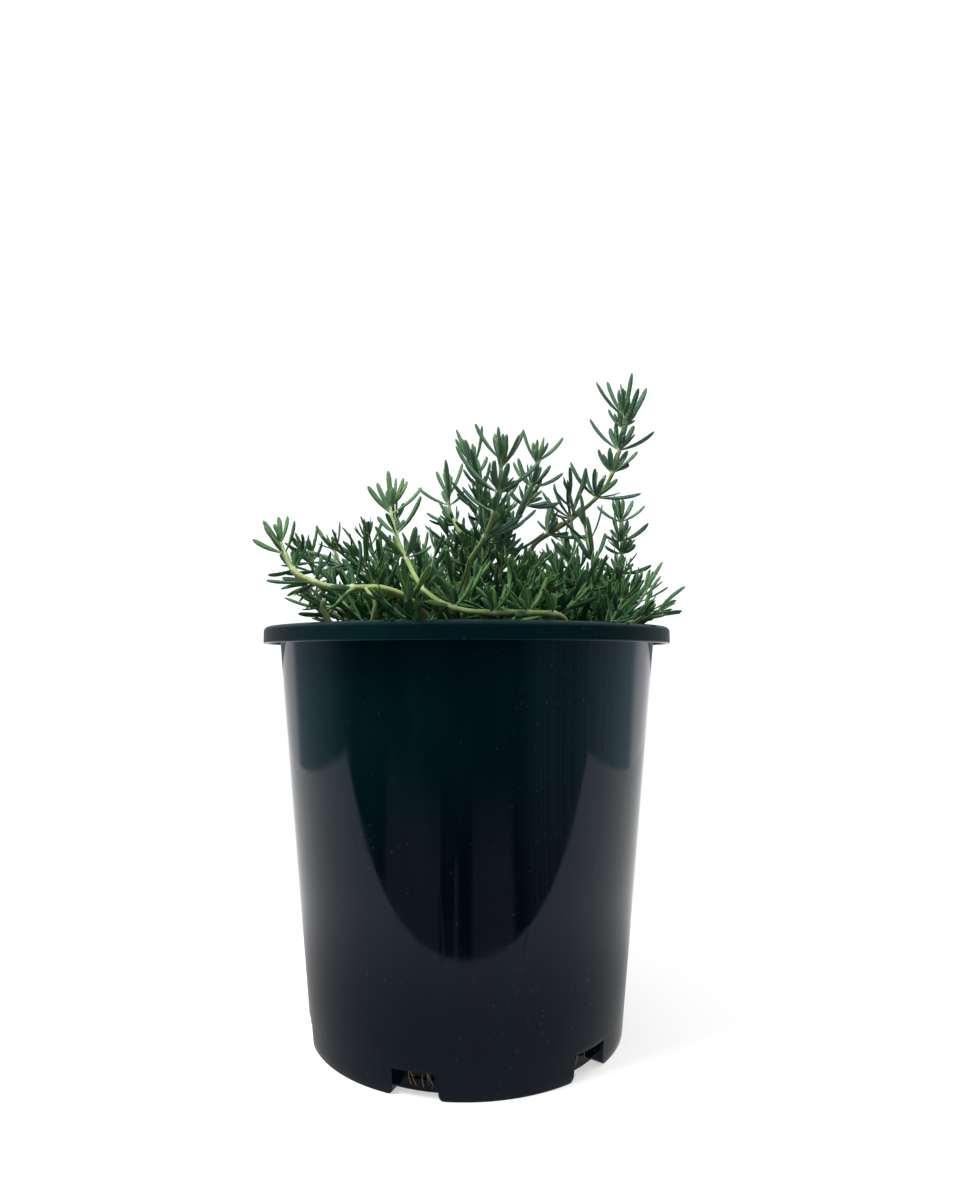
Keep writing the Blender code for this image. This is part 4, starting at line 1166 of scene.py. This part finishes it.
def leafy_stems():
    """Lays all the stems first, then the leaves of the solids, then the small leaves in what room is
    left, and makes two pieces for each stem: its wood and its leaves."""
    room, laid = Room(), []
    for owner, (name, (foot, tip, in_leaf, routes)) in enumerate(STEMS.items()):
        routes = [with_foot(routes[0]), *routes[1:]]
        paths = [smooth_route(np.array(route) * MM, COARSE_STEP) for route in routes]
        radii = [np.linspace(foot if path is paths[0] else tip, tip, len(path)) * MM for path in paths]
        for radius in radii:
            radius[-1] *= STEM_END
        for path, radius in zip(paths, radii):
            room.take(owner, path, radius[1:])
        laid.append((owner, name, paths, radii, in_leaf * MM))
    twigs = {name: [(smooth_route(np.array(route) * MM, 4 * MM), start, end, bark)
                    for start, end, bark, route in own] for name, own in TWIGS.items()}
    grown = []
    for owner, name, paths, radii, in_leaf in laid:
        draw = np.random.default_rng(SEED + owner)
        found, places = Leaves(np.random.default_rng(100 + owner)), []
        for path in paths:
            seen = NODES_SEEN.get(name, []) if path is paths[0] else []
            places.append(main_leaves(owner, path, in_leaf, seen, room, draw, found, FRESH.get(name, 0)))
        grown.append((found, places))
    for owner, name, paths, radii, in_leaf in laid:
        if name in IN_VIEW:
            keep_in_view(paths[0], *IN_VIEW[name], room)
        for path, start, _, _ in twigs.get(name, []):
            room.take(-1, path[1:], start * MM)
    leaf, bark = leaf_finish(), bark_finish()
    for (owner, name, paths, radii, in_leaf), (found, places) in zip(laid, grown):
        for path, at in zip(paths, places):
            tuft_leaves(owner, at, room, found, BARK.get(name, PLAIN_BARK) < 0.2)
            bud_leaves(path, found)
    for (owner, name, paths, radii, in_leaf), (found, places) in zip(laid, grown):
        nodes = [[lengths_along(path)[-1] - place[0] for place in at] for path, at in zip(paths, places)]
        if name not in BARE_BELOW:
            lower_leaves(owner, paths[0], in_leaf, room, found)
            shoots = side_shoots(owner, paths[0], room, found)
            paths += shoots
            radii += [np.linspace(0.8, 0.5, 5) * MM] * len(shoots)
            nodes += [[]] * len(shoots)
        points, quads, fans, values = leaf_meshes(found)
        leaves = mesh_piece("leaves_" + name, points, quads, fans, leaf, values)
        bark_age = BARK.get(name, PLAIN_BARK)
        radii = [radius * FULLER.get(name, 1) for radius in radii]
        stems = [stem_mesh(*each, bark_age, owner) for each in zip(paths, radii, nodes)]
        stems += [stem_mesh(path, np.array((start, end)) * MM, [], bark_own, owner)
                  for path, start, end, bark_own in twigs.get(name, [])]
        points, quads, fans, values = joined(stems)
        wood = mesh_piece("wood_" + name, points, quads, fans, bark, values)
        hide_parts("stem_" + name)
        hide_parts("stem_" + name)


# The potting mix

def lumps(x, y):
    """How far the top of the mix rises at a point: three sizes of noise."""
    flat = np.stack([x, y, 0 * x], axis=-1)
    return (1.1 * lattice_noise(flat, 14 * MM, 1) + 0.8 * lattice_noise(flat, 5 * MM, 2)
            + 0.5 * lattice_noise(flat, 2.2 * MM, 3)) * MM


def potting_mix():
    """A turned body that fills the pot: its profile, with three sizes of noise raised from its top and
    crumbs pushed out towards the drain slots."""
    columns = 240
    angle = np.arange(columns) * math.tau / columns
    bottom = FLOOR_RISE + WALL + 0.3 * MM
    behind = POCKET_BACK - WALL - 0.3 * MM
    edge = inner_radius(MIX_TOP) - 0.3 * MM
    profile = [(behind * share, bottom) for share in (0.35, 0.7, 0.98)]
    profile += [(behind, height) for height in np.linspace(4.4, 12.6, 9) * MM]
    profile += [(inner_radius(13 * MM) - 0.3 * MM, 13 * MM), (edge, MIX_TOP - 1.5 * MM)]
    profile += [(edge * share, MIX_TOP) for share in np.linspace(0.998, 0.012, 90)]
    profile = np.array(profile)
    radius, height = profile[:, :1], profile[:, 1:]
    points = np.stack([radius * np.cos(angle), radius * np.sin(angle), height + 0 * angle], axis=-1)
    top = (height > MIX_TOP - 1 * MM) & (radius < edge)
    points[..., 2] += np.where(top, lumps(points[..., 0], points[..., 1]), 0)
    crumbly = (radius == behind) & (height > 4.4 * MM) & (height < 12.6 * MM)
    push = np.where(crumbly, 0.9 * (1 + lattice_noise(points, 1.8 * MM, 4)) * MM, 0)
    outward = np.stack([np.cos(angle), np.sin(angle), 0 * angle], axis=-1)
    points += push[..., None] * outward
    points = np.vstack([points.reshape(-1, 3), [(0, 0, bottom), (0, 0, points[-1, :, 2].mean())]])
    quads, fans = tube_faces(len(profile), columns)
    obj = mesh_piece("mix_surface", points, quads, fans, mix_finish(), sharp=60)
    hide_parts("potting_mix")


CHIPS = 620
CHIP_ROWS, CHIP_SIDES = 4, 7


def bark_chips():
    """Chips of bark lying on the mix: each a ball of four rings of seven points, flattened, stretched,
    turned and roughened at random."""
    draw = np.random.default_rng(31)
    count = CHIPS
    radius = (inner_radius(MIX_TOP) - 5 * MM) * np.sqrt(draw.uniform(0, 1, count))
    around = draw.uniform(0, math.tau, count)
    x, y = radius * np.cos(around), radius * np.sin(around)
    size = draw.uniform(1.0, 3.6, count) * MM * draw.uniform(0.6, 1, count)
    shape = np.stack([size, size * draw.uniform(0.4, 0.8, count), size * draw.uniform(0.25, 0.5, count)], -1)
    tilt = np.linspace(0.25, 0.75, CHIP_ROWS) * math.pi
    angle = np.arange(CHIP_SIDES) * math.tau / CHIP_SIDES
    ball = np.stack([np.sin(tilt)[:, None] * np.cos(angle), np.sin(tilt)[:, None] * np.sin(angle),
                     np.cos(tilt)[:, None] + 0 * angle], axis=-1).reshape(-1, 3)
    ball = np.vstack([ball, [(0, 0, 0.95), (0, 0, -0.95)]])
    rough = ball * (1 + draw.uniform(-0.22, 0.22, (count, len(ball), 1)))
    local = rough * shape[:, None]
    yaw, lean = draw.uniform(0, math.tau, count), draw.uniform(-0.5, 0.5, count)
    cos_lean, sin_lean = np.cos(lean)[:, None], np.sin(lean)[:, None]
    leant = np.stack([local[..., 0] * cos_lean + local[..., 2] * sin_lean, local[..., 1],
                      local[..., 2] * cos_lean - local[..., 0] * sin_lean], axis=-1)
    cos_yaw, sin_yaw = np.cos(yaw)[:, None], np.sin(yaw)[:, None]
    turned = np.stack([leant[..., 0] * cos_yaw - leant[..., 1] * sin_yaw,
                       leant[..., 0] * sin_yaw + leant[..., 1] * cos_yaw, leant[..., 2]], axis=-1)
    middle = np.stack([x, y, MIX_TOP + lumps(x, y) + shape[:, 2] * 0.3], axis=-1)
    points = turned + middle[:, None]
    each = len(ball)
    quads, fans = tube_faces(CHIP_ROWS, CHIP_SIDES)
    offset = (np.arange(count) * each)[:, None, None]
    tone = np.repeat(draw.uniform(0, 1, count) ** 1.6, each)
    mesh_piece("bark_chips", points.reshape(-1, 3), (quads + offset).reshape(-1, 4)[:, ::-1],
               (fans + offset).reshape(-1, 3)[:, ::-1], chip_finish(), {"tone": tone}, sharp=50)


ROOTS_IN_SLOT = 7


def drain_roots():
    """Fine roots that have grown out of the drain slots: thin tubes that start behind the wall, pass over
    the slot's sill and turn down or aside."""
    draw = np.random.default_rng(53)
    parts = []
    for pocket in range(POCKETS):
        for _ in range(ROOTS_IN_SLOT):
            angle = FIRST_POCKET + pocket * math.tau / POCKETS + draw.uniform(-0.42, 0.42) * DRAIN_SPAN
            out = np.array((math.cos(angle), math.sin(angle), 0))
            aside = np.array((-out[1], out[0], 0)) * draw.uniform(-3.5, 3.5) * MM
            height, drop = draw.uniform(6.4, 9.0) * MM, draw.uniform(0.6, 2.4) * MM
            up = np.array((0, 0, 1))
            route = np.array([
                out * (POCKET_BACK - 3 * MM) + up * height, out * (POCKET_BACK + 0.4 * MM) + up * height,
                out * (POCKET_BACK + 1.2 * MM) + aside * 0.4 + up * (height - drop),
                out * (POCKET_BACK + draw.uniform(0.6, 1.4) * MM) + aside + up * (height - 2.2 * drop)])
            radii = np.linspace(draw.uniform(0.2, 0.38), 0.12, 4) * MM
            parts.append(stem_mesh(route, radii, [], 0, pocket))
    points, quads, fans, values = joined(parts)
    mesh_piece("drain_roots", points, quads, fans, root_finish(), values)


# The studio

GROUND_EDGE = -173 * MM  # where the pale floor ends for the gloss: in front of the pot,
GROUND_SIDE = 0.58       # beside it
GROUND_BACK = 4.0        # and behind it


def plane(name, low, high, height):
    """A level rectangle from one corner to the other, in x and y."""
    mesh = bpy.data.meshes.new(name)
    mesh.from_pydata([(low[0], low[1], height), (high[0], low[1], height), (high[0], high[1], height),
                      (low[0], high[1], height)], [], [(0, 1, 2, 3)])
    obj = bpy.data.objects.new(name, mesh)
    bpy.context.scene.collection.objects.link(obj)
    return obj


def floor():
    """A pale floor that takes the shadow near the pot and is evenly white further away, so that it has no
    end. Bounced light finds it dimmer everywhere, and gloss finds it dimmer near the pot: a painted shadow."""
    ground = plane("floor", (-6, -6), (6, 6), 0)
    n = Nodes("pale floor")
    shaded = n.node("BsdfDiffuse", {"Color": (0.9, 0.9, 0.9, 1)}).outputs[0]
    rays = n.node("LightPath").outputs
    apart = n.node("VectorMath", {0: n.place()}, operation="LENGTH").outputs["Value"]
    spread = n.span(rays["Is Diffuse Ray"], 0, 1, 1.0, 0.3)
    glossy = rays["Is Glossy Ray"]
    # Painted shadow: for the gloss, the floor's glow is dimmed near the pot, where its shadow falls.
    reflected = n.times(glossy, n.span(apart, 0.24, 0.10, 0.0, 0.55))
    strength = n.times(spread, n.math("SUBTRACT", 1.0, reflected))
    white = n.node("Emission", {"Color": (1, 1, 1, 1), "Strength": strength}).outputs[0]
    share = n.math("MAXIMUM", glossy, n.span(apart, 0.08, 0.26, 0.5, 1.0))
    blend = n.node("MixShader", {0: share, 1: shaded, 2: white}).outputs[0]
    ground.data.materials.append(n.shine(blend))


def dark_ground():
    """The dark ground beyond the pale floor's edges, which only the gloss of the pot sees. In front it has
    paler patches, with a dark gap between them and a thin slit in the gap, and streaks to the right."""
    n = Nodes("dark ground")
    at = n.node("SeparateXYZ", {0: n.place()})
    bearing = n.math("ARCTAN2", at.outputs[0], n.times(at.outputs[1], -1.0))
    beside = n.span(n.math("ABSOLUTE", n.math("ADD", bearing, 0.1)), 0.13, 0.16)
    near = n.span(at.outputs[1], -0.50, -0.24)
    middle = n.span(n.math("ABSOLUTE", n.math("ADD", bearing, 0.18)), 0.66, 0.56)
    slit = n.times(n.span(n.math("ABSOLUTE", n.math("ADD", bearing, 0.1)), 0.022, 0.012),
                  n.span(at.outputs[1], -0.31, -0.27))
    patch = n.times(near, n.math("MAXIMUM", beside, slit), middle)
    turned = n.math("ABSOLUTE", n.math("ADD", bearing, 0.05))
    streaks = n.node("TexNoise", {"W": n.times(bearing, 9.0), "Detail": 2}, noise_dimensions="1D")
    right = n.times(n.span(bearing, 0.45, 0.75), n.span(streaks.outputs[0], 0.4, 0.6, 0.35, 1.0))
    side = n.times(n.span(turned, 1.0, 1.7), 0.45)
    back = n.span(turned, 2.02, 2.2)
    glow = n.math("ADD", n.times(patch, 0.26), n.times(right, 0.34))
    glow = n.math("ADD", n.math("ADD", glow, side), n.times(back, 0.5))
    tint = n.mix(n.math("MAXIMUM", patch, back), (0.68, 0.9, 1.0), (0.97, 0.95, 1.0))
    light = n.node("Emission", {"Color": tint, "Strength": n.math("ADD", glow, 0.015)})
    glowing = n.shine(light.outputs[0])
    for name, low, high in (
        ("dark front", (-4, -5), (4, GROUND_EDGE)),
        ("dark left", (-4, GROUND_EDGE), (-GROUND_SIDE, GROUND_BACK)),
        ("dark right", (GROUND_SIDE, GROUND_EDGE), (4, GROUND_BACK)),
    ):
        flag = plane(name, low, high, 1 * MM)
        flag.data.materials.append(glowing)
        flag.visible_camera = flag.visible_diffuse = flag.visible_shadow = flag.visible_transmission = False


def studio():
    """A pale floor under an even white surround, one broad soft light high on the left, and a weaker one
    behind on the right."""
    floor()
    dark_ground()
    for name, place, size, power in (
        ("high left", (-0.6, -0.3, 1.4), 0.6, 42),
        ("high right", (0.8, 0.35, 1.2), 0.9, 14),
    ):
        light = bpy.data.lights.new(name, "AREA")
        light.size, light.energy, light.color = size, power, (1.0, 0.97, 0.88)
        lamp = bpy.data.objects.new(name, light)
        lamp.location = place
        aim = np.array(place) - (0, 0, 0.2)
        lamp.rotation_euler = (math.acos(aim[2] / np.linalg.norm(aim)), 0,
                               math.atan2(aim[1], aim[0]) + math.pi / 2)
        lamp.visible_glossy = False
        bpy.context.scene.collection.objects.link(lamp)

    world = bpy.data.worlds.new("surround")
    bpy.context.scene.world = world
    world.use_nodes = True
    tree = world.node_tree
    back = tree.nodes["Background"]
    rays = tree.nodes.new("ShaderNodeLightPath").outputs
    toward = tree.nodes.new("ShaderNodeSeparateXYZ")
    tree.links.new(tree.nodes.new("ShaderNodeTexCoord").outputs["Generated"], toward.inputs[0])

    def between(share, first, second):
        mix = tree.nodes.new("ShaderNodeMix")
        for key, value in (("Factor", share), ("A", first), ("B", second)):
            if isinstance(value, bpy.types.NodeSocket):
                tree.links.new(value, mix.inputs[key])
            else:
                mix.inputs[key].default_value = value
        return mix.outputs["Result"]

    def ramp(value, low, high, to_low, to_high):
        found = tree.nodes.new("ShaderNodeMapRange")
        for key, number in (("From Min", low), ("From Max", high), ("To Min", to_low), ("To Max", to_high)):
            found.inputs[key].default_value = number
        tree.links.new(value, found.inputs["Value"])
        return found.outputs["Result"]

    sky = ramp(toward.outputs[2], -0.1, 0.9, 0.26, 0.95)
    reflected = ramp(toward.outputs[1], -0.9, 0.3, 0.03, 0.22)
    upward = ramp(toward.outputs[2], 0.15, 0.6, 0.0, 0.45)
    both = tree.nodes.new("ShaderNodeMath")
    tree.links.new(reflected, both.inputs[0])
    tree.links.new(upward, both.inputs[1])
    strength = between(rays["Is Glossy Ray"], sky, both.outputs[0])
    tree.links.new(between(rays["Is Camera Ray"], strength, 1.2), back.inputs["Strength"])
    back.inputs["Color"].default_value = (0.9, 0.96, 1.0, 1)
    bpy.context.scene.view_settings.view_transform = "Standard"


def camera():
    """The photograph's view: in front, a little below the rim's height, looking slightly up."""
    data = bpy.data.cameras.new("camera")
    data.sensor_width, data.lens = 36, 23.7043
    data.clip_start, data.clip_end = 0.01, 50
    obj = bpy.data.objects.new("camera", data)
    obj.location = FRONT_VIEW
    pitch, yaw = 0.0758, 0.0158
    obj.rotation_euler = (math.pi / 2 + pitch, 0, -yaw)
    bpy.context.scene.collection.objects.link(obj)
    bpy.context.scene.camera = obj


nursery_pot()
potting_mix()
bark_chips()
drain_roots()
leafy_stems()
studio()
camera()
